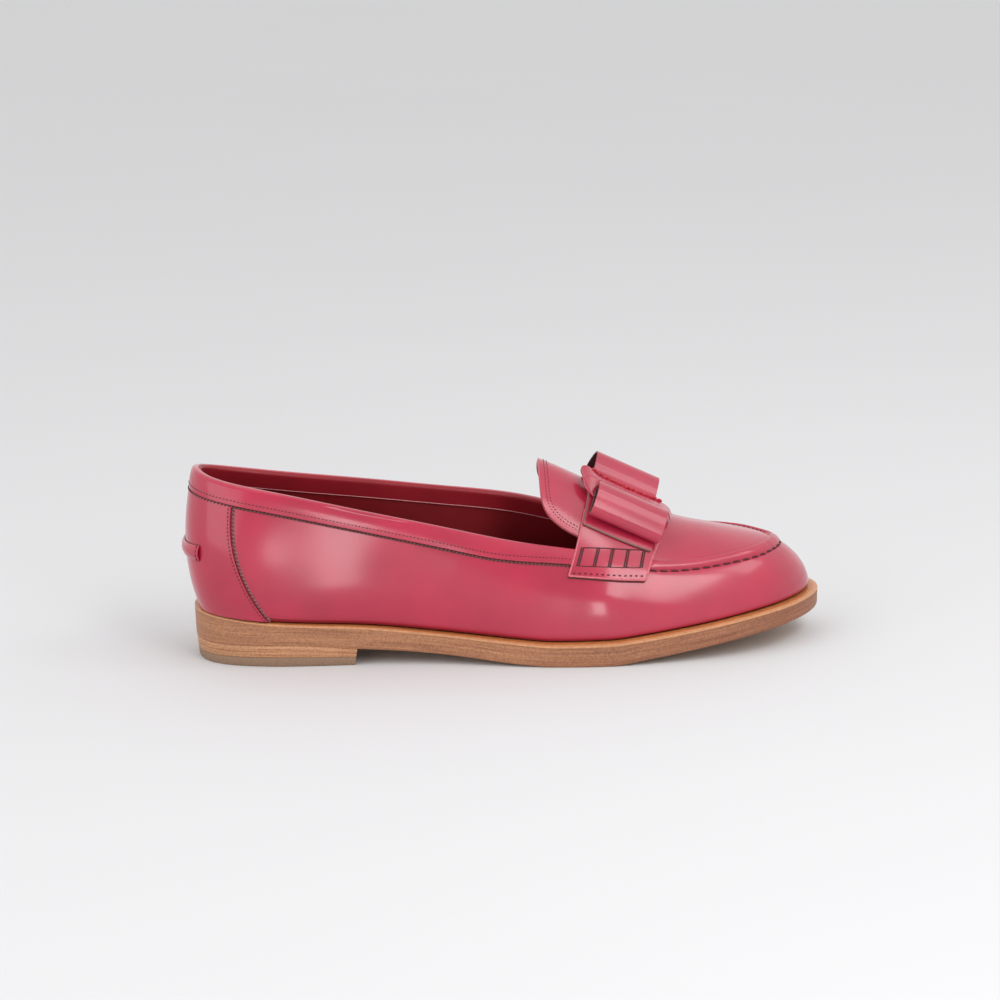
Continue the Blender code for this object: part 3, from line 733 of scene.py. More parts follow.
def bump(tree, height, strength, distance, **under):
    """Normal of a relief, on top of another if under names one."""
    return add_node(tree, "ShaderNodeBump", Height=height, Strength=strength, Distance=distance,
                    **under).outputs["Normal"]


def new_material(name):
    material = bpy.data.materials.new(name)
    material.use_nodes = True
    tree = material.node_tree
    return material, tree, tree.nodes["Principled BSDF"]


def mottle(tree, factor, colour, by):
    """Colour that goes from a little darker to a little lighter than its own tone."""
    tones = [tuple(min(c * share, 1.0) for c in colour) for share in (1 - by, 1 + by)]
    return ramp(tree, factor, *tones)


def leather(name, colour, gloss, coat):
    """Smooth calf: broad cloudy colour, fine pores and slow unevenness that breaks up the shine."""
    material, tree, shader = new_material(name)
    spot = add_node(tree, "ShaderNodeTexCoord").outputs["Object"]
    pores = add_node(tree, "ShaderNodeTexVoronoi", Vector=spot, Scale=CALF_PORES).outputs["Distance"]
    uneven = bump(tree, noise(tree, spot, CALF_WAVES, 2.0), 0.16, 0.0006)
    feed(tree, shader,
         Base_Color=mottle(tree, noise(tree, spot, CALF_CLOUDS, 4.0), colour, 0.1),
         Roughness=span(tree, noise(tree, spot, CALF_SMEARS), gloss - 0.05, gloss + 0.07),
         Normal=bump(tree, pores, 0.12, 0.00012, Normal=uneven),
         Coat_Weight=coat, Coat_Roughness=0.15, Specular_IOR_Level=0.3)
    return material




def sole_edge(name, dark, light, streak, rough):
    """Cut edge of stacked leather: thin layers, speckled fibres, and darker towards the toe."""
    material, tree, shader = new_material(name)
    spot = add_node(tree, "ShaderNodeAttribute", {"attribute_name": "edge"}).outputs["Vector"]
    layers = add_node(tree, "ShaderNodeVectorMath", {"operation": "MULTIPLY"}, Vector=spot)
    layers.inputs[1].default_value = (LAYER_WAVES, streak, 1.0)
    lines = noise(tree, layers.outputs["Vector"], 1.0, 3.0, 0.6)
    solid = add_node(tree, "ShaderNodeTexCoord").outputs["Object"]
    speckle = noise(tree, solid, FIBRES, 2.0, 0.7)
    forward = add_node(tree, "ShaderNodeSeparateXYZ", Vector=solid).outputs["X"]
    toe_darkening = ramp(tree, span(tree, forward, 0.0, 1.0, *TOE_SHADE), WHITE, TOE_TONE, 0.0, 1.0)
    base = multiply(tree, ramp(tree, lines, dark, light, 0.32, 0.68), toe_darkening)
    fibres = ramp(tree, speckle, FIBRE_TONE, WHITE, 0.34, 0.58)
    ridges = bump(tree, lines, 0.35, 0.0003)
    feed(tree, shader,
         Base_Color=multiply(tree, base, fibres, 0.75),
         Roughness=span(tree, speckle, rough - 0.1, rough + 0.12),
         Normal=bump(tree, speckle, 0.3, 0.00015, Normal=ridges))
    return material


def plain(name, colour, rough, scale=900.0, depth=0.2, mottling=0.14):
    """Thread, paint, rubber, floor, painted shade and painted highlight: one tone with a slight mottle and
    grain.
    """
    material, tree, shader = new_material(name)
    spot = add_node(tree, "ShaderNodeTexCoord").outputs["Object"]
    grain = noise(tree, spot, scale, 2.0)
    feed(tree, shader, Base_Color=mottle(tree, grain, colour, mottling), Roughness=rough,
         Normal=bump(tree, grain, depth, 0.0001))
    return material


RED = leather("red_calf", (0.40, 0.013, 0.045), 0.4, 0.85)
# Darker red for the curled-in tuck at the feather line: painted shade.
TUCK_PAINTED_SHADE = plain("shaded_calf", (0.25, 0.006, 0.018), 0.6)
# Pale pink for the cut edges and rims of the upper's pieces: painted highlight where they catch the light.
EDGE_PAINTED_HIGHLIGHT = plain("red_cut_edge_painted_highlight", (0.55, 0.12, 0.15), 0.5)
# Red lining leather, painted darker as the shade inside the shoe.
LINING_PAINTED_SHADE = leather("red_lining_painted_shade", (0.20, 0.008, 0.012), 0.5, 0.0)
# The binding's inner leg: the same red strip painted darker as the shade inside the collar.
FACING_PAINTED_SHADE = leather("red_facing_painted_shade", (0.26, 0.01, 0.018), 0.45, 0.05)
# Near black for the thin lines under the strap's edges: painted shadow.
PAINTED_SHADOW_LINE = plain("painted_shadow_line", (0.075, 0.018, 0.016), 0.5)
RAW_EDGE = plain("raw_edge", (0.15, 0.04, 0.04), 0.6)
COUNTER_EDGE = plain("counter_cut_edge", (0.22, 0.075, 0.08), 0.6)
FACING_EDGE = plain("facing_cut_edge", (0.62, 0.24, 0.26), 0.6)
CUT_EDGE = plain("grey_brown_cut_edge", (0.17, 0.085, 0.075), 0.6)
# The ribbon's flesh side, painted near black as the shade inside the bow loops.
LOOP_INSIDE_PAINTED_SHADE = plain("flesh_side_painted_shade", (0.07, 0.018, 0.02), 0.8)
THREAD = plain("dark_thread", (0.065, 0.01, 0.013), 0.7, 2500.0)
FINE_THREAD = plain("maroon_thread", (0.14, 0.012, 0.02), 0.65, 2500.0)
RED_THREAD = plain("red_thread", (0.46, 0.012, 0.03), 0.5, 2500.0)
SOLE_EDGE = sole_edge("sole_edge", (0.30, 0.12, 0.055), (0.49, 0.225, 0.11), 1100.0, 0.5)
HEEL_EDGE = sole_edge("heel_edge", (0.40, 0.175, 0.08), (0.66, 0.34, 0.17), 1500.0, 0.5)
SOLE_FLAT = plain("sole_leather", (0.50, 0.27, 0.13), 0.6, 300.0)
WELT_TOP = plain("welt_ledge", (0.46, 0.15, 0.045), 0.4, 500.0)
WELT_EDGE = plain("welt_rim", (0.52, 0.24, 0.11), 0.45, 700.0)
RUBBER = plain("top_piece", (0.27, 0.165, 0.105), 0.65, 1200.0)


# Upper

def seam_on(s):
    """How far the rolled seam has grown at station s: 0 under the strap, 1 round the toe."""
    return progress(np.minimum(s, STATIONS - s), *SEAM_START)


def upper_sheet():
    """Fine sheet of the upper: points, quads and the height of its relief."""
    spokes = STATIONS * FINE
    s = np.arange(spokes) / FINE
    length = wall_length(s)
    edge_run = arc_length(top(np.append(s, 0.0)))[:-1]
    rows = [share * (1 - WALL_TOP / length) for share in np.linspace(0, 1, WALL_STEPS)]
    drops = [(1 - row) * length for row in rows] + [np.full(spokes, drop) for drop in WALL_DROPS]
    rows += [1 - drop / length for drop in WALL_DROPS]
    sheet = np.stack([wall(s, row) for row in rows], axis=1)
    tuck = sheet[:, :1] - outward(s)[:, None] * TUCK - np.array([0.0, 0.0, TUCK_DROP])
    sheet = np.concatenate([tuck, sheet], axis=1)
    drops = np.stack([drops[0]] + drops, axis=1)
    columns = sheet.shape[1]
    pucker = PUCKER * (0.5 + 0.5 * np.cos(2 * np.pi * edge_run / MOC_PITCH))[:, None]
    gather = pucker * np.exp(-np.clip(drops - SEAM_WIDTH, 0, None) / PUCKER_REACH)
    rolled = smooth(SEAM_SECTION, "rise", drops) - np.where(drops >= SEAM_WIDTH, gather, pucker * 0.5)
    relief = seam_on(s)[:, None] * rolled
    relief -= TUCK_CURL * np.clip(1 - (length[:, None] - drops) / TUCK_REACH, 0, 1) ** 2

    quads = [grid_faces(spokes, columns, wrap=True)]
    points = [sheet.reshape(-1, 3)]
    reliefs = [relief.reshape(-1)]
    count = spokes * columns
    seam = top(np.linspace(APRON_BACK, STATIONS - APRON_BACK, 801))
    before = None
    for k in range(int(APRON_BACK * FINE), TOE * FINE):
        half = np.linalg.norm(top(s[k]) - top(STATIONS - s[k])) / 2
        inset = np.array(APRON_INSETS) * min(1.0, 0.5 * half / APRON_INSETS[-1]) / half
        middle = np.linspace(-1 + inset[-1], 1 - inset[-1], APRON_MIDDLE)[1:-1]
        u = np.concatenate([-1 + inset, middle, 1 - inset[::-1]])
        row = apron(np.full(len(u), s[k]), u)
        away = np.linalg.norm(row[:, None] - seam[None], axis=-1).min(axis=1)
        points.append(row)
        reliefs.append(smooth(SEAM_SECTION, "rise", -away) * seam_on(s[k]))
        line = np.concatenate([[k * columns + columns - 1], count + np.arange(len(u)),
                               [(spokes - k) * columns + columns - 1]])
        count += len(u)
        if before is not None:
            quads.append(np.stack([before[:-1], line[:-1], line[1:], before[1:]], axis=-1))
        before = line
    nose = np.full(len(before) - 1, TOE * FINE * columns + columns - 1)
    quads.append(np.stack([before[:-1], nose, nose, before[1:]], axis=-1))
    return np.concatenate(points), np.concatenate(quads), np.concatenate(reliefs)


def sheet_normals(points, quads):
    a, b, c, d = (points[quads[:, k]] for k in range(4))
    area = np.cross(c - a, d - b)
    total = np.zeros_like(points)
    for k in range(4):
        np.add.at(total, quads[:, k], area)
    return unit(total)


def make_upper():
    """Red skin whose curled-in tuck at the feather line is painted darker as shade, and the lining inside
    it.
    """
    points, quads, relief = upper_sheet()
    normals = sheet_normals(points, quads)
    verts, faces = close_sheet(points + normals * relief[:, None], points - normals * SKIN, quads)
    columns = WALL_STEPS + len(WALL_DROPS)
    index = np.arange(len(faces))
    # The lowest faces of each wall spoke, the tuck, take the painted shade.
    finishes = np.where((index < STATIONS * FINE * columns) & (index % columns < 2), 1, 0)
    make_piece("upper_skin", verts, faces, [RED, TUCK_PAINTED_SHADE], "upper", finishes)
    # The lining takes the red painted darker as shade.
    make_shell("upper_lining", points - normals * (SKIN + LINING_GAP), points - normals * WALL, quads,
               (LINING_PAINTED_SHADE, LINING_PAINTED_SHADE, LINING_PAINTED_SHADE), slot="lining_leather")


def moc_stitches():
    """Hand stitches in the groove below the rolled seam, and their other ends inside the far seam."""
    s = np.linspace(SEAM_START[0] + 0.06, STATIONS - SEAM_START[0] - 0.06, 900)
    groove = points_on(wall, s, 1 - SEAM_WIDTH / wall_length(s))
    s = np.linspace(SEAM_START[1] + 0.8, TOE - 0.3, 300)
    far = points_on(apron, s, 1 - FAR_INSET / np.linalg.norm(top(s) - top(STATIONS - s), axis=-1))
    return [stitches(*groove, *MOC_THREAD), stitches(*far, *MOC_FAR_THREAD)]


def tongue_edge(turn):
    u = TONGUE_HALF * np.sin(turn)
    return TONGUE_TIP + (TONGUE_SIDE - TONGUE_TIP) * np.abs(np.sin(turn)) ** TONGUE_CORNER, u


def make_tongue():
    edge, u = tongue_edge(np.linspace(-np.pi / 2, np.pi / 2, 73))
    s = edge + (TONGUE_FRONT - edge) * np.linspace(0, 1, 24)[:, None]
    surface = points_on(apron, s, np.broadcast_to(u, s.shape))
    overlay("tongue_tab", "tongue", surface, -WALL, WALL, TONGUE_ROUND, EDGE_PAINTED_HIGHLIGHT)


def tongue_stitches():
    """Two rows that follow the tongue's edge."""
    path, normals = points_on(apron, *tongue_edge(np.linspace(-1.5, 1.5, 400)))
    inward = unit(np.cross(unit(np.gradient(path, axis=0)), normals))
    inward *= np.sign(inward[len(path) // 2, 0])
    return [stitches(path + inward * row, normals, *TONGUE_THREAD) for row in TONGUE_ROWS]


# Collar, counter and heel tab

def binding_row(s):
    """Height on the wall of the binding's lower edge; the strip narrows towards the strap."""
    narrowing = BINDING_NARROWING * ease(progress(np.abs(s), BINDING_NARROWS_AT, BINDING_END[0]))
    return 1 - (BINDING_WIDTH - narrowing) / wall_length(s)


def make_binding():
    """Strip folded over the collar, with a leg on each side of the wall."""
    run = np.linspace(-1, 1, 241)
    outer = []
    inner = []
    for share in np.linspace(0, 1, 9):
        s = run * (BINDING_END[0] + np.ptp(BINDING_END) * share)
        low = binding_row(s)
        points, normals = points_on(wall, s, low + (1 - low) * share)
        outer.append(points + normals * (GAP + OVERLAY + BINDING_PUFF * np.sin(np.pi * share)))
        inner.append(points + normals * GAP)
    s = run * BINDING_END[1]
    edge = top(s)
    away = surface_normal(wall, s, 1.0)
    rise = unit(edge - wall(s, 0.98))
    for angle in np.linspace(0, np.pi, 13)[1:-1]:
        out = np.cos(angle)
        up = np.sin(angle)
        outer.append(edge + away * ((WALL / 2 + GAP + OVERLAY) * out - WALL / 2) + rise * FOLD_RISE * up)
        inner.append(edge + away * ((WALL / 2 + GAP) * out - WALL / 2) + rise * (0.1 + 0.3 * up))
    for share in np.linspace(0, 1, 7):
        points, normals = points_on(wall, s, 1 - share * FACING_WIDTH / wall_length(s))
        outer.append(points - normals * (WALL + GAP + OVERLAY * (1 - FACING_THINS * share)))
        inner.append(points - normals * (WALL + SEATED))
    columns = len(outer)
    quads = grid_faces(len(run), columns)
    verts, faces = close_sheet(*(np.stack(side, axis=1).reshape(-1, 3) for side in (outer, inner)), quads)
    # The rim takes the painted highlight of the cut edges; the leg inside the collar takes the red painted
    # darker as shade.
    rim = np.arange(len(faces)) >= 2 * len(quads)
    facing = faces[:, 0] % columns >= columns - FACING_COLUMNS
    finishes = np.where(rim, 2, np.where(facing, 1, 0))
    make_piece("collar_strip", verts, faces, [RED, FACING_PAINTED_SHADE, EDGE_PAINTED_HIGHLIGHT], "collar_binding",
               finishes, THIN_ROUND)


def facing_line():
    """Pale cut edge of the leather that faces the inside of the collar."""
    s = np.linspace(-1, 1, 400) * (BINDING_END[1] - 0.05)
    points, normals = points_on(wall, s, 1 - FACING_WIDTH / wall_length(s))
    return tube(points - normals * (WALL + GAP + 0.3), -normals, FACING_LINE)


def edge_cord(path, normals, width, lift=CORD_LIFT):
    """Raw edge beside an overlay, whipped with slanting thread: cord and threads."""
    cord = tube(path, normals, CORD_HEIGHT, lift, width=width)
    raised = path + normals * np.broadcast_to(lift - CORD_LIFT, len(path))[:, None]
    return cord, stitches(raised, normals, CORD_PITCH, 2.2 * width, *WHIP_THREAD)


def binding_seams():
    """Whipped raw edge under the binding: cord, threads and the row of stitches above them."""
    s = np.linspace(-BINDING_END[0] + 0.02, BINDING_END[0] - 0.02, 900)
    low = points_on(wall, s, binding_row(s) - CORD_DROP / wall_length(s))
    high = points_on(wall, s, binding_row(s) + BINDING_ROW / wall_length(s))
    over_counter = np.clip((COUNTER_TOP + 0.04 - np.abs(s)) / 0.06, 0, 1)
    cord, threads = edge_cord(*low, CORD_WIDTH, CORD_CLIMB * over_counter + CORD_LIFT)
    return cord, threads, stitches(*high, lift=GAP + OVERLAY)


def counter_edge(up, inset=0.0):
    """Station of the counter's front edge at a share of its height."""
    s = COUNTER_TOP + COUNTER_FLARE * (1 - up) ** COUNTER_FLARE_POWER
    rate = last_at(s)[1]
    return s - inset / np.hypot(rate["foot_x"], rate["foot_y"])


def counter_height(s, up):
    """Height on the wall at a share of the counter's height, between welt and binding."""
    lower = COUNTER_CLEAR / wall_length(s)
    upper = binding_row(s) - COUNTER_CLEAR / wall_length(s)
    return lower + (upper - lower) * up


def make_counter():
    across, up = np.meshgrid(np.linspace(-1, 1, 97), np.linspace(0, 1, 30), indexing="ij")
    s = across * counter_edge(up)
    surface = points_on(wall, s, counter_height(s, up))
    overlay("counter_patch", "counter", surface, SEATED, GAP + OVERLAY - SEATED, PATCH_ROUND, RED)


def counter_seams():
    """Whipped edge in front of the counter on both sides, and the row of stitches inside it."""
    up = np.linspace(0.0, 0.985, 300)
    front = counter_edge(up, -BAND_WIDTH)
    row = counter_edge(up, COUNTER_ROW)
    cords = []
    threads = []
    for side in (-1, 1):
        cord, thread = edge_cord(*points_on(wall, side * front, counter_height(front, up)), BAND_WIDTH)
        inside = points_on(wall, side * row, counter_height(row, up))
        cords.append(cord)
        threads += [thread, stitches(*inside, lift=GAP + OVERLAY)]
    return cords, threads


def tab_point(s, v):
    """Point under the heel tab, which is a little narrower at the back of the heel."""
    back = 1 - (s / TAB_HALF_STATION) ** 2
    base = foot(s)[..., 2]
    w = (TAB_MIDDLE - 0.3 * back + TAB_HEIGHT * v * (1 - 0.12 * back) - base) / (top(s)[..., 2] - base)
    return points_on(wall, s, w)


def make_heel_tab():
    s, v = np.meshgrid(np.linspace(-1, 1, 65) * TAB_HALF_STATION, np.linspace(-0.5, 0.5, 13), indexing="ij")
    points, normals = tab_point(s, v)
    crown = (TAB_CROWN * (1 - (2 * v) ** 2))[..., None]
    overlay("heel_strip", "heel_tab", (points + normals * crown, normals), GAP + OVERLAY - 0.2,
            TAB_THICKNESS - 0.1, PATCH_ROUND, RED)


def tab_edges():
    """Dark painted upper and lower edges of the heel tab."""
    s = np.linspace(-1, 1, 90) * TAB_HALF_STATION
    return [tube(*tab_point(s, v), *TAB_RIM) for v in (-0.5, 0.5)]


def tab_stitches():
    """Row over each end of the heel tab."""
    v = np.linspace(-TAB_ROW_HALF, TAB_ROW_HALF, 60)
    crown = (TAB_CROWN * (1 - (v / TAB_ROW_HALF) ** 2))[:, None]
    rows = []
    for side in (-1, 1):
        points, normals = tab_point(side * (TAB_HALF_STATION - 0.035), v)
        rows.append(stitches(points + normals * crown, normals, *TAB_THREAD))
    return rows


# Strap and bow

def strap_station(a, b):
    """Station of a strap point: a runs from its back to its front edge, b across the foot."""
    lean = 1 - b ** 2
    back = STRAP_BACK[0] + (STRAP_BACK[1] - STRAP_BACK[0]) * lean
    front = STRAP_FRONT[0] + (STRAP_FRONT[1] - STRAP_FRONT[0]) * lean
    return back + (front - back) * a


def strap_surface(a, b):
    """Surface under the strap: apron in the middle, wall past the seams."""
    s = strap_station(a, b)
    over = apron(s, np.clip(b / STRAP_SEAM, -1, 1))
    past = np.clip((np.abs(b) - STRAP_SEAM) / (1 - STRAP_SEAM), 0, None)
    side = np.where(b < 0, s, STATIONS - s)
    drop = STRAP_DROP[0] + (STRAP_DROP[1] - STRAP_DROP[0]) * a
    down = wall(side, 1 - drop * past)
    return np.where((past > 0)[..., None], down, over)


def soften(points, passes):
    """Rounds a grid across its columns, with its edges kept."""
    for _ in range(passes):
        points[:, 1:-1] = (points[:, :-2] + 2 * points[:, 1:-1] + points[:, 2:]) / 4
    return points


STRAP_ROWS = 29
STRAP_COLUMNS = 121


def strap_grid():
    a, b = np.meshgrid(np.linspace(0, 1, STRAP_ROWS), np.linspace(-1, 1, STRAP_COLUMNS), indexing="ij")
    points = soften(strap_surface(a, b), 10)
    normals = unit(soften(surface_normal(strap_surface, a, b, step=0.05), 10))
    return points, normals


STRAP_POINTS, STRAP_NORMALS = strap_grid()


def on_strap(a, b):
    """Point on the softened strap, and its normal, between the grid's own."""
    i = np.clip(np.asarray(a, float), 0, 1) * (STRAP_ROWS - 1)
    j = (np.clip(np.asarray(b, float), -1, 1) + 1) / 2 * (STRAP_COLUMNS - 1)
    i0 = np.minimum(i.astype(int), STRAP_ROWS - 2)
    j0 = np.minimum(j.astype(int), STRAP_COLUMNS - 2)
    p = (i - i0)[..., None]
    q = (j - j0)[..., None]
    found = []
    for grid in (STRAP_POINTS, STRAP_NORMALS):
        found.append(grid[i0, j0] * (1 - p) * (1 - q) + grid[i0 + 1, j0] * p * (1 - q)
                     + grid[i0, j0 + 1] * (1 - p) * q + grid[i0 + 1, j0 + 1] * p * q)
    return found


def make_strap():
    """Strap across the instep, and the bow's plate on it."""
    overlay("strap_band", "saddle_strap", (STRAP_POINTS, STRAP_NORMALS), STRAP_CLEAR - 0.2,
            STRAP_THICKNESS + 0.2, STRAP_ROUND, EDGE_PAINTED_HIGHLIGHT)
    a = np.linspace(*PLATE_SPAN, 25)[:, None]
    b = np.linspace(-1, 1, 85) * np.linspace(*PLATE_HALF, 25)[:, None]
    overlay("bow_plate", "bow_base", on_strap(a, b), STRAP_TOP + 0.05, GAP + BOW_PLATE - 0.05,
            THIN_ROUND, CUT_EDGE)


def strap_edges():
    """Painted highlights along the strap's turned ends, the painted shadow lines under them and the plate's
    cut edge.
    """
    a = np.linspace(0, 1, 80)
    across = np.linspace(0.5, 1, 60)
    highlight_rims = []
    dark = []
    cut = []
    for side in (-1, 1):
        points, normals = on_strap(a, side)
        out = unit(points - on_strap(a, side * 0.97)[0])
        # Dark tubes just outside the strap's sides are painted shadow.
        dark.append(tube(points + out * 0.55, normals, *STRAP_SHADOW))
        rims = [(points, normals), on_strap(0.0, side * across), on_strap(1.0, side * across)]
        # Pale tubes along the strap's ends are painted highlight.
        highlight_rims += [tube(*rim, *STRAP_RIM) for rim in rims]
        flank = on_strap(np.linspace(*PLATE_SPAN, len(a)), side * np.linspace(*PLATE_HALF, len(a)))
        back = on_strap(PLATE_SPAN[0], side * PLATE_HALF[0] * np.linspace(0.3, 1, len(a)))
        cut += [tube(*flank, *PLATE_FLANK), tube(*back, *PLATE_BACK)]
    return highlight_rims, dark, cut


# Ladder of stitches near the strap's ends: its rungs from back to front, and the row under them.
LADDER = table(
    "top_a top_b foot_a foot_b",
    (0.075, 0.812, 0.075, 0.933),
    (0.280, 0.797, 0.285, 0.928),
    (0.468, 0.783, 0.477, 0.920),
    (0.665, 0.765, 0.682, 0.912),
    (0.865, 0.745, 0.890, 0.902),
)
STRAP_ROW = (0.982, 0.968)
RUNG_HALF = 0.013
LADDER_RAILS = (("top", 0.26), ("foot", 0.2))


def ladder_stitches():
    """Five double rungs between two rows near each end of the strap, and a row along its end."""
    rows = []
    share = np.linspace(0, 1, 40)
    for side in (-1, 1):
        for top_a, top_b, foot_a, foot_b in zip(*LADDER.values()):
            a = top_a + (foot_a - top_a) * share
            b = top_b + (foot_b - top_b) * share
            for offset in (-RUNG_HALF, RUNG_HALF):
                rows.append(tube(*on_strap(a + offset, side * b), *RUNG))
        for end, radius in LADDER_RAILS:
            a = np.linspace(LADDER[end + "_a"][0], LADDER[end + "_a"][-1], 120)
            b = np.interp(a, LADDER[end + "_a"], LADDER[end + "_b"])
            rows.append(tube(*on_strap(a, side * b), radius, STRAP_TOP))
        row = on_strap(np.linspace(0.02, 0.97, 200), side * np.linspace(*STRAP_ROW, 200))
        rows.append(stitches(*row, *STRAP_THREAD))
    return rows


def bow_frame():
    """Middle of the bow on the crest, and its directions along, across and off the instep."""
    slope = np.radians(INSTEP_SLOPE_DEG)
    tilt = np.radians(BOW_TILT_DEG)
    middle = np.array([BOW_MIDDLE_X, 0.0, float(smooth(CREST, "z", np.array(BOW_MIDDLE_X)))])
    along = np.array([np.cos(slope), 0.0, -np.sin(slope)])
    across = np.array([0.0, np.cos(tilt), np.sin(tilt)])
    return middle, along, across, unit(np.cross(along, across))


def bow_point(e, y, n):
    """Point at distances along, across and off the instep from the middle of the bow."""
    middle, along, across, away = bow_frame()
    e, y, n = np.broadcast_arrays(e, y, n)
    return middle + along * e[..., None] + across * y[..., None] + away * n[..., None]


def rounded_path(section, steps):
    """Smooth open curve through the rows of a section, with steps samples to each span."""
    points = np.stack(list(section.values()), axis=-1)
    ends = np.concatenate([[2 * points[0] - points[1]], points, [2 * points[-1] - points[-2]]])
    t = (np.arange(steps) / steps)[:, None]
    spans = []
    for p0, p1, p2, p3 in zip(ends, ends[1:], ends[2:], ends[3:]):
        spans.append(0.5 * (2 * p1 + (p2 - p0) * t + (2 * p0 - 5 * p1 + 4 * p2 - p3) * t ** 2
                            + (3 * p1 - p0 - 3 * p2 + p3) * t ** 3))
    return np.concatenate(spans + [points[-1:]])


def make_bow_loop(name, side, section, ends, node):
    """Ribbon turned back on itself: side is -1 for the outer loop, 1 for the inner."""
    path = rounded_path(section, 8)
    heading = unit(np.gradient(path, axis=0))
    run = arc_length(path)
    folds = np.zeros_like(run)
    for spot, deep, wide in zip(*LOOP_FOLDS.values()):
        folds += deep * np.exp(-((run - run[-1] + spot) / wide) ** 2)
    off_band = np.abs(side * path[:, 0] - np.mean(KNOT_SIDES)) - np.ptp(KNOT_SIDES) / 2
    gather = BOW_GATHER * np.clip(1 - off_band / BOW_GATHER_ENDS, 0, 1)
    share = np.linspace(0, 1, 41)[:, None]
    along_by = ends[1] - (np.ptp(ends) - gather) * (1 - share)
    fade = (0.6 + 0.4 * np.cos(4 * share)) * (1.0 if side < 0 else 0.25)

    def ribbon(off):
        out = side * (path[:, 0] + heading[:, 1] * off)
        return bow_point(along_by, out, path[:, 1] - heading[:, 0] * off).reshape(-1, 3)

    quads = grid_faces(len(share), len(path))
    # The loop's inner side takes the painted shade.
    make_shell(name, ribbon(BOW_RIBBON / 2 - folds * fade), ribbon(-BOW_RIBBON / 2),
               quads if side < 0 else quads[:, ::-1], (RED, LOOP_INSIDE_PAINTED_SHADE, CUT_EDGE), node, THIN_ROUND)


def bow_sheet(name, grid, outer, inner, looks, node=None, round_edges=0.0):
    """Leather along a grid of places on the bow, between two distances off it."""
    points = bow_point(*np.moveaxis(grid, -1, 0)).reshape(-1, 3)
    quads = grid_faces(*grid.shape[:2])
    normals = sheet_normals(points, quads)
    make_shell(name, points + normals * outer, points + normals * inner, quads, looks, node, round_edges)


def make_bow_knot():
    """Band over the bow, and the leather rolled in under its back end."""
    lateral = rounded_path(KNOT_LATERAL, 8)[:, None]
    medial = rounded_path(KNOT_MEDIAL, 8)[:, None]
    band = lateral + (medial - lateral) * np.linspace(0, 1, 19)[:, None]
    half = KNOT_THICKNESS / 2
    bow_sheet("bow_band", band, half, -half, (RED, RED, EDGE_PAINTED_HIGHLIGHT), "bow_knot", PATCH_ROUND)
    curl = lateral[:41]
    chord = curl[0] + (curl[-1] - curl[0]) * np.linspace(0, 1, len(curl))[:, None]
    q = np.linspace(0, 1, 9)[:, None]
    fill = curl * (1 - q) + chord[:, None] * q
    fill[..., 1] += 0.3 - 1.6 * (q * (1 - q))[:, 0]
    bow_sheet("bow_band_end", fill, 0.0, -0.5, (RED, RED, RED))


def bow_gathers():
    """Uneven red thread whipped along the inner edge of the band, with its knot in the middle."""
    draw = np.random.default_rng(7)
    edge = rounded_path(KNOT_MEDIAL, 30)
    edge = edge[(edge[:, 0] > GATHERS[0]) & (edge[:, 0] < GATHERS[1])]
    lumps = 0.45 + 0.35 * draw.random(len(edge))
    e, y, n = edge.T
    path = bow_point(e, y + 0.3 + 0.2 * np.sin(e * 2.1), n + 0.55 + 0.15 * np.sin(e * 3.3))
    up = np.broadcast_to(bow_frame()[3], path.shape)
    k = np.linspace(-1, 1, 13)
    knob = bow_point(-3.0 + 0.3 * k, KNOT_SIDES[1] - 0.5 + 0.8 * k, 4.95)
    return [tube(path, up, lumps),
            stitches(path, up, *GATHER_THREAD),
            tube(knob, up[:len(k)], 0.2 + 0.75 * np.sqrt(np.maximum(1 - k ** 2, 0)))]


# Sole and heel

RING = np.arange(STATIONS * FINE) / FINE
LEDGE = last_at(RING)[0]["ledge"]


def ring_points(offset, height, rise=0.0):
    """Fine ring round the foot; height gives z from the points' own x, and rise adds to it."""
    points = outline(RING, np.broadcast_to(offset, len(RING)))
    points[:, 2] = height(points[:, 0]) + rise
    return points


def cap(first, count, upward):
    """Strips across a ring, from its outer side to its inner side."""
    i = np.arange(count // 2)
    j = i + 1
    strip = first + np.stack([i, j, (count - j) % count, (count - i) % count], axis=-1)
    strip = strip if upward else strip[:, ::-1]
    return np.array([face for face in strip if len(set(face.tolist())) > 2])


def ring_piece(name, rings, look, flat, slot, node):
    """Solid lofted through rings and capped; its sides carry distance along and height."""
    count = len(rings[0])
    sides = ring_faces(len(rings), count)
    faces = np.concatenate([sides, cap(0, count, False), cap((len(rings) - 1) * count, count, True)])
    finishes = np.where(np.arange(len(faces)) < len(sides), 0, 1)
    run = arc_length(rings[-1])
    edge = np.concatenate([stack(run, ring[:, 2] - rings[0][:, 2], 0.0) for ring in rings]) * MM
    make_piece(name, np.concatenate(rings), faces, [look, flat], node, finishes, slot=slot, edge=edge)


def welt_rim(x):
    """Height of the welt's outer edge at the points of a fine ring."""
    return welt_top(x) - LEDGE * WELT_SLOPE


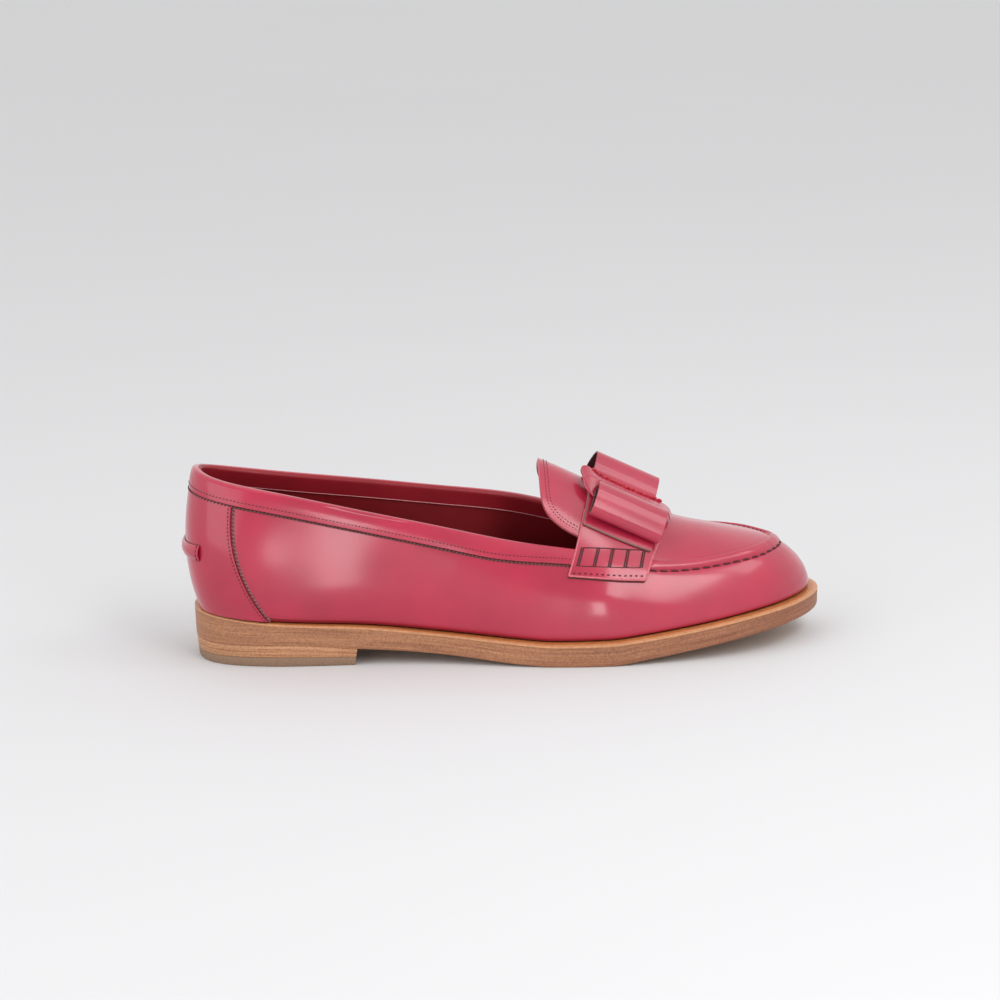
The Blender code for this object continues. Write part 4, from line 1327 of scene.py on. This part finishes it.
def make_outsole():
    """Outsole edge up to just under the welt's rim."""
    bevel = HEEL_BEVEL + (OUTSOLE_BEVEL - HEEL_BEVEL) * progress(last_at(RING)[0]["foot_x"], *BEVEL_GROWS)
    side = LEDGE - SOLE_DRAFT
    rings = [
        ring_points(LEDGE - bevel - 0.7, sole_bottom),
        ring_points(LEDGE - bevel, sole_bottom),
        ring_points(side - (bevel - SOLE_DRAFT) * 0.35, sole_bottom, 0.25),
        ring_points(side, sole_bottom, SOLE_ROUNDING),
    ]
    for share in (0.25, 0.5, 0.75, 1.0):
        ring = ring_points(side + SOLE_DRAFT * share, sole_bottom, SOLE_ROUNDING)
        top_edge = welt_rim(ring[:, 0]) - LEDGE_SIDE - WELT_JOINT
        ring[:, 2] += (top_edge - SOLE_ROUNDING - sole_bottom(ring[:, 0])) * share
        rings.append(ring)
    rings.append(ring_points(-3.0, welt_rim, -LEDGE_SIDE - WELT_JOINT))
    ring_piece("sole_body", rings, SOLE_EDGE, SOLE_FLAT, "sole_leather", "outsole")


def make_welt():
    """Sloping ledge round the upper, with a rounded rim."""
    rings = [
        ring_points(LEDGE, welt_rim, -LEDGE_SIDE),
        ring_points(LEDGE + 0.05, welt_rim, -0.4),
        ring_points(LEDGE - 0.1, welt_rim, -0.12),
        ring_points(LEDGE - 0.45, welt_rim),
        ring_points(LEDGE * 0.5, welt_top, -LEDGE * WELT_SLOPE * 0.5),
        ring_points(0.0, welt_top),
        ring_points(-2.2, welt_top),
        ring_points(-2.2, welt_top, -1.2),
    ]
    faces = ring_faces(len(rings), len(RING), closed=True)
    finishes = np.where(np.arange(len(faces)) // len(RING) < 4, 1, 0)
    make_piece("welt_ledge", np.concatenate(rings), faces, [WELT_TOP, WELT_EDGE], "welt", finishes,
               slot="welt_leather")


def make_footbed():
    inset = -WALL - 0.1
    rings = [
        ring_points(inset - 0.3, welt_top, GAP),
        ring_points(inset, welt_top, GAP + INSOLE_THICKNESS / 2),
        ring_points(inset - 0.25, welt_top, GAP + INSOLE_THICKNESS - 0.1),
        ring_points(inset - 0.9, welt_top, GAP + INSOLE_THICKNESS),
    ]
    # The footbed takes the red lining painted darker as shade.
    ring_piece("footbed", rings, LINING_PAINTED_SHADE, LINING_PAINTED_SHADE, "lining_leather", "insole")


def heel_ring(taper, breast_x, height, rise=0.0):
    """Heel outline back of the breast, which is slightly hollow."""
    s = np.linspace(-HEEL_STATIONS, HEEL_STATIONS, 401)
    points = outline(s, last_at(s)[0]["ledge"] - taper)
    half = len(s) // 2
    outer = np.interp(breast_x, points[half:, 0], s[half:])
    inner = np.interp(breast_x, points[half::-1, 0], s[half::-1])
    turn = np.linspace(inner, outer, 97)
    arc = outline(turn, last_at(turn)[0]["ledge"] - taper)
    across = np.linspace(0, 1, 17)[1:-1]
    breast = arc[-1] + (arc[0] - arc[-1]) * across[:, None]
    breast[:, 0] -= BREAST_HOLLOW * 4 * across * (1 - across)
    ring = np.roll(np.concatenate([arc, breast]), -(len(arc) // 2), axis=0)
    ring[:, 2] = height(ring[:, 0]) + rise
    return ring


def make_heel():
    """Two leather lifts and a rubber top piece with softened edges."""

    def joint(x):
        return smooth(HEEL_PROFILE, "joint", x)

    def rubber(x):
        return smooth(HEEL_PROFILE, "rubber", x)

    lift = (HEEL_EDGE, SOLE_FLAT, "sole_leather")
    tread = (RUBBER, RUBBER, "top_piece_rubber")
    levels = [
        ("heel_layer_upper", "heel_lift_upper", joint, sole_bottom, 0.1, lift),
        ("heel_layer_lower", "heel_lift_lower", rubber, joint, 0.1, lift),
        ("heel_rubber", "heel_top_piece", np.zeros_like, rubber, 0.45, tread),
    ]
    breast = np.linspace(BREAST_TOP_X, BREAST_FLOOR_X, len(levels) + 1)
    for k, (name, node, bottom, crown, soft, finish) in enumerate(levels):
        low = HEEL_TAPER[k + 1]
        high = HEEL_TAPER[k]
        rings = [
            heel_ring(low + soft, breast[k + 1] - soft, bottom),
            heel_ring(low, breast[k + 1], bottom, soft),
            heel_ring(high, breast[k], crown, -0.2),
            heel_ring(high + 0.12, breast[k] - 0.12, crown, -0.08),
        ]
        ring_piece(name, rings, *finish, node)


def make_stitching():
    """Every thread of the upper, joined by colour, the cut edges, and the strap's pale tubes of painted
    highlight and dark tubes of painted shadow.
    """
    collar_cord, collar_whips, collar_row = binding_seams()
    counter_cords, counter_threads = counter_seams()
    highlight_edges, shadow_lines, plate_edges = strap_edges()
    heavy = [*moc_stitches(), collar_row, collar_whips, *ladder_stitches()]
    fine = [*tongue_stitches(), *counter_threads, *tab_stitches(), *tab_edges()]
    lines = [
        ("strap_edges", highlight_edges, EDGE_PAINTED_HIGHLIGHT, "upper_leather"),
        ("plate_edges", plate_edges, CUT_EDGE, "upper_leather"),
        ("strap_shadow_lines", shadow_lines, PAINTED_SHADOW_LINE, "upper_leather"),
        ("raw_edges", [collar_cord], RAW_EDGE, "upper_leather"),
        ("counter_edges", counter_cords, COUNTER_EDGE, "upper_leather"),
        ("facing_edge", [facing_line()], FACING_EDGE, "lining_leather"),
        ("stitching", heavy, THREAD, "upper_leather"),
        ("fine_stitching", fine, FINE_THREAD, "upper_leather"),
        ("bow_thread", bow_gathers(), RED_THREAD, "upper_leather"),
    ]
    for name, parts, look, slot in lines:
        make_piece(name, *join(parts), [look], slot=slot)


# Stage

CAMERA_TARGET = (128.0, 0.0, 33.0)
CAMERA_ELEVATION = 14.5
CAMERA_YAW = 1.5
CAMERA_ROLL = 1.5
CAMERA_DISTANCE = 1400.0
PHOTO_SIZE = 1000
PHOTO_SCALE = 2.43
PHOTO_TARGET = (507.0, 563.3)
SENSOR = 36.0
FLOOR_REACH = 12.0
DIM_DIRECTION = (-0.03, -0.82, 0.57)
DIM_TONE = (0.35, 0.35, 0.35)
DIM_EDGE = (0.80, 0.97)


def put(name, data, position, right, up, back):
    """Camera or lamp at a place in metres, with its own right, up and back."""
    thing = bpy.data.objects.new(name, data)
    turn = Matrix([[right[k], up[k], back[k]] for k in range(3)]).to_4x4()
    thing.matrix_world = Matrix.Translation(position) @ turn
    bpy.context.scene.collection.objects.link(thing)
    return thing


def make_camera():
    """Camera at the photo's angle; its target falls where the photo shows it."""
    rise = np.radians(CAMERA_ELEVATION)
    yaw = np.radians(CAMERA_YAW)
    roll = np.radians(CAMERA_ROLL)
    forward = np.array([np.sin(yaw) * np.cos(rise), np.cos(yaw) * np.cos(rise), -np.sin(rise)])
    right = np.array([np.cos(yaw), -np.sin(yaw), 0.0])
    up = np.cross(right, forward)
    right, up = right * np.cos(roll) - up * np.sin(roll), up * np.cos(roll) + right * np.sin(roll)
    eye = np.array(CAMERA_TARGET) - forward * CAMERA_DISTANCE
    off_x, off_y = (np.array(PHOTO_TARGET) - PHOTO_SIZE / 2) / PHOTO_SCALE
    forward = unit(np.array(CAMERA_TARGET) - right * off_x + up * off_y - eye)
    right = unit(right - forward * (right @ forward))
    data = bpy.data.cameras.new("camera")
    data.sensor_width = SENSOR
    data.lens = SENSOR * PHOTO_SCALE * CAMERA_DISTANCE / PHOTO_SIZE
    eye = place(eye)[0].tolist()
    bpy.context.scene.camera = put("camera", data, eye, right, np.cross(right, forward), -forward)


def add_light(name, position, aim, size, power, roll=0.0):
    """Soft box: position and aim in metres, width and height, and its turn about its own axis."""
    data = bpy.data.lights.new(name, "AREA")
    data.shape = "RECTANGLE"
    data.size = size[0]
    data.size_y = size[1]
    data.energy = power
    back = unit(np.array(position) - np.array(aim))
    level = unit(np.cross((0.0, 0.0, 1.0), back))
    right = level * np.cos(np.radians(roll)) + np.cross(back, level) * np.sin(np.radians(roll))
    put(name, data, position, right, np.cross(back, right), back)


def make_world():
    """Even white studio with a dimmer zone in front of the shoe, half way up."""
    world = bpy.data.worlds.new("studio")
    world.use_nodes = True
    tree = world.node_tree
    towards = add_node(tree, "ShaderNodeTexCoord").outputs["Generated"]
    near = add_node(tree, "ShaderNodeVectorMath", {"operation": "DOT_PRODUCT"}, Vector=towards)
    near.inputs[1].default_value = DIM_DIRECTION
    light = ramp(tree, near.outputs["Value"], WHITE, DIM_TONE, *DIM_EDGE)
    feed(tree, tree.nodes["Background"], Color=light, Strength=1.0)
    bpy.context.scene.world = world


def make_stage():
    """Pale floor, studio and four soft boxes."""
    mesh = bpy.data.meshes.new("floor")
    corners = [(x * FLOOR_REACH, y * FLOOR_REACH, 0.0) for x, y in ((-1, -1), (1, -1), (1, 1), (-1, 1))]
    mesh.from_pydata(corners, [], [(0, 1, 2, 3)])
    mesh.materials.append(plain("pale_floor", (0.66, 0.66, 0.67), 0.8, 3.0, 0.0, 0.006))
    floor = bpy.data.objects.new("floor", mesh)
    bpy.context.scene.collection.objects.link(floor)
    make_world()
    bpy.context.scene.view_settings.view_transform = "Standard"
    add_light("quarter_box", (0.06, -4.0, 0.455), (-0.066, -0.03, 0.04), (0.67, 0.9), 13.8)
    add_light("vamp_box", (0.46, -0.85, 0.82), (0.064, -0.035, 0.03), (0.295, 0.92), 5.0, -27.0)
    add_light("toe_box", (0.77, -0.19, 1.0), (0.06, 0.0, 0.06), (0.5, 0.36), 1.6)
    add_light("heel_box", (-1.0, -0.9, 0.6), (-0.1, 0.0, 0.05), (1.2, 1.0), 4.5)


make_upper()
make_tongue()
make_binding()
make_counter()
make_heel_tab()
make_strap()
make_bow_loop("bow_wing_lateral", -1, LATERAL_LOOP, LATERAL_SPAN, "bow_loop_lateral")
make_bow_loop("bow_wing_medial", 1, MEDIAL_LOOP, MEDIAL_SPAN, "bow_loop_medial")
make_bow_knot()
make_outsole()
make_welt()
make_footbed()
make_heel()
make_stitching()
make_camera()
make_stage()
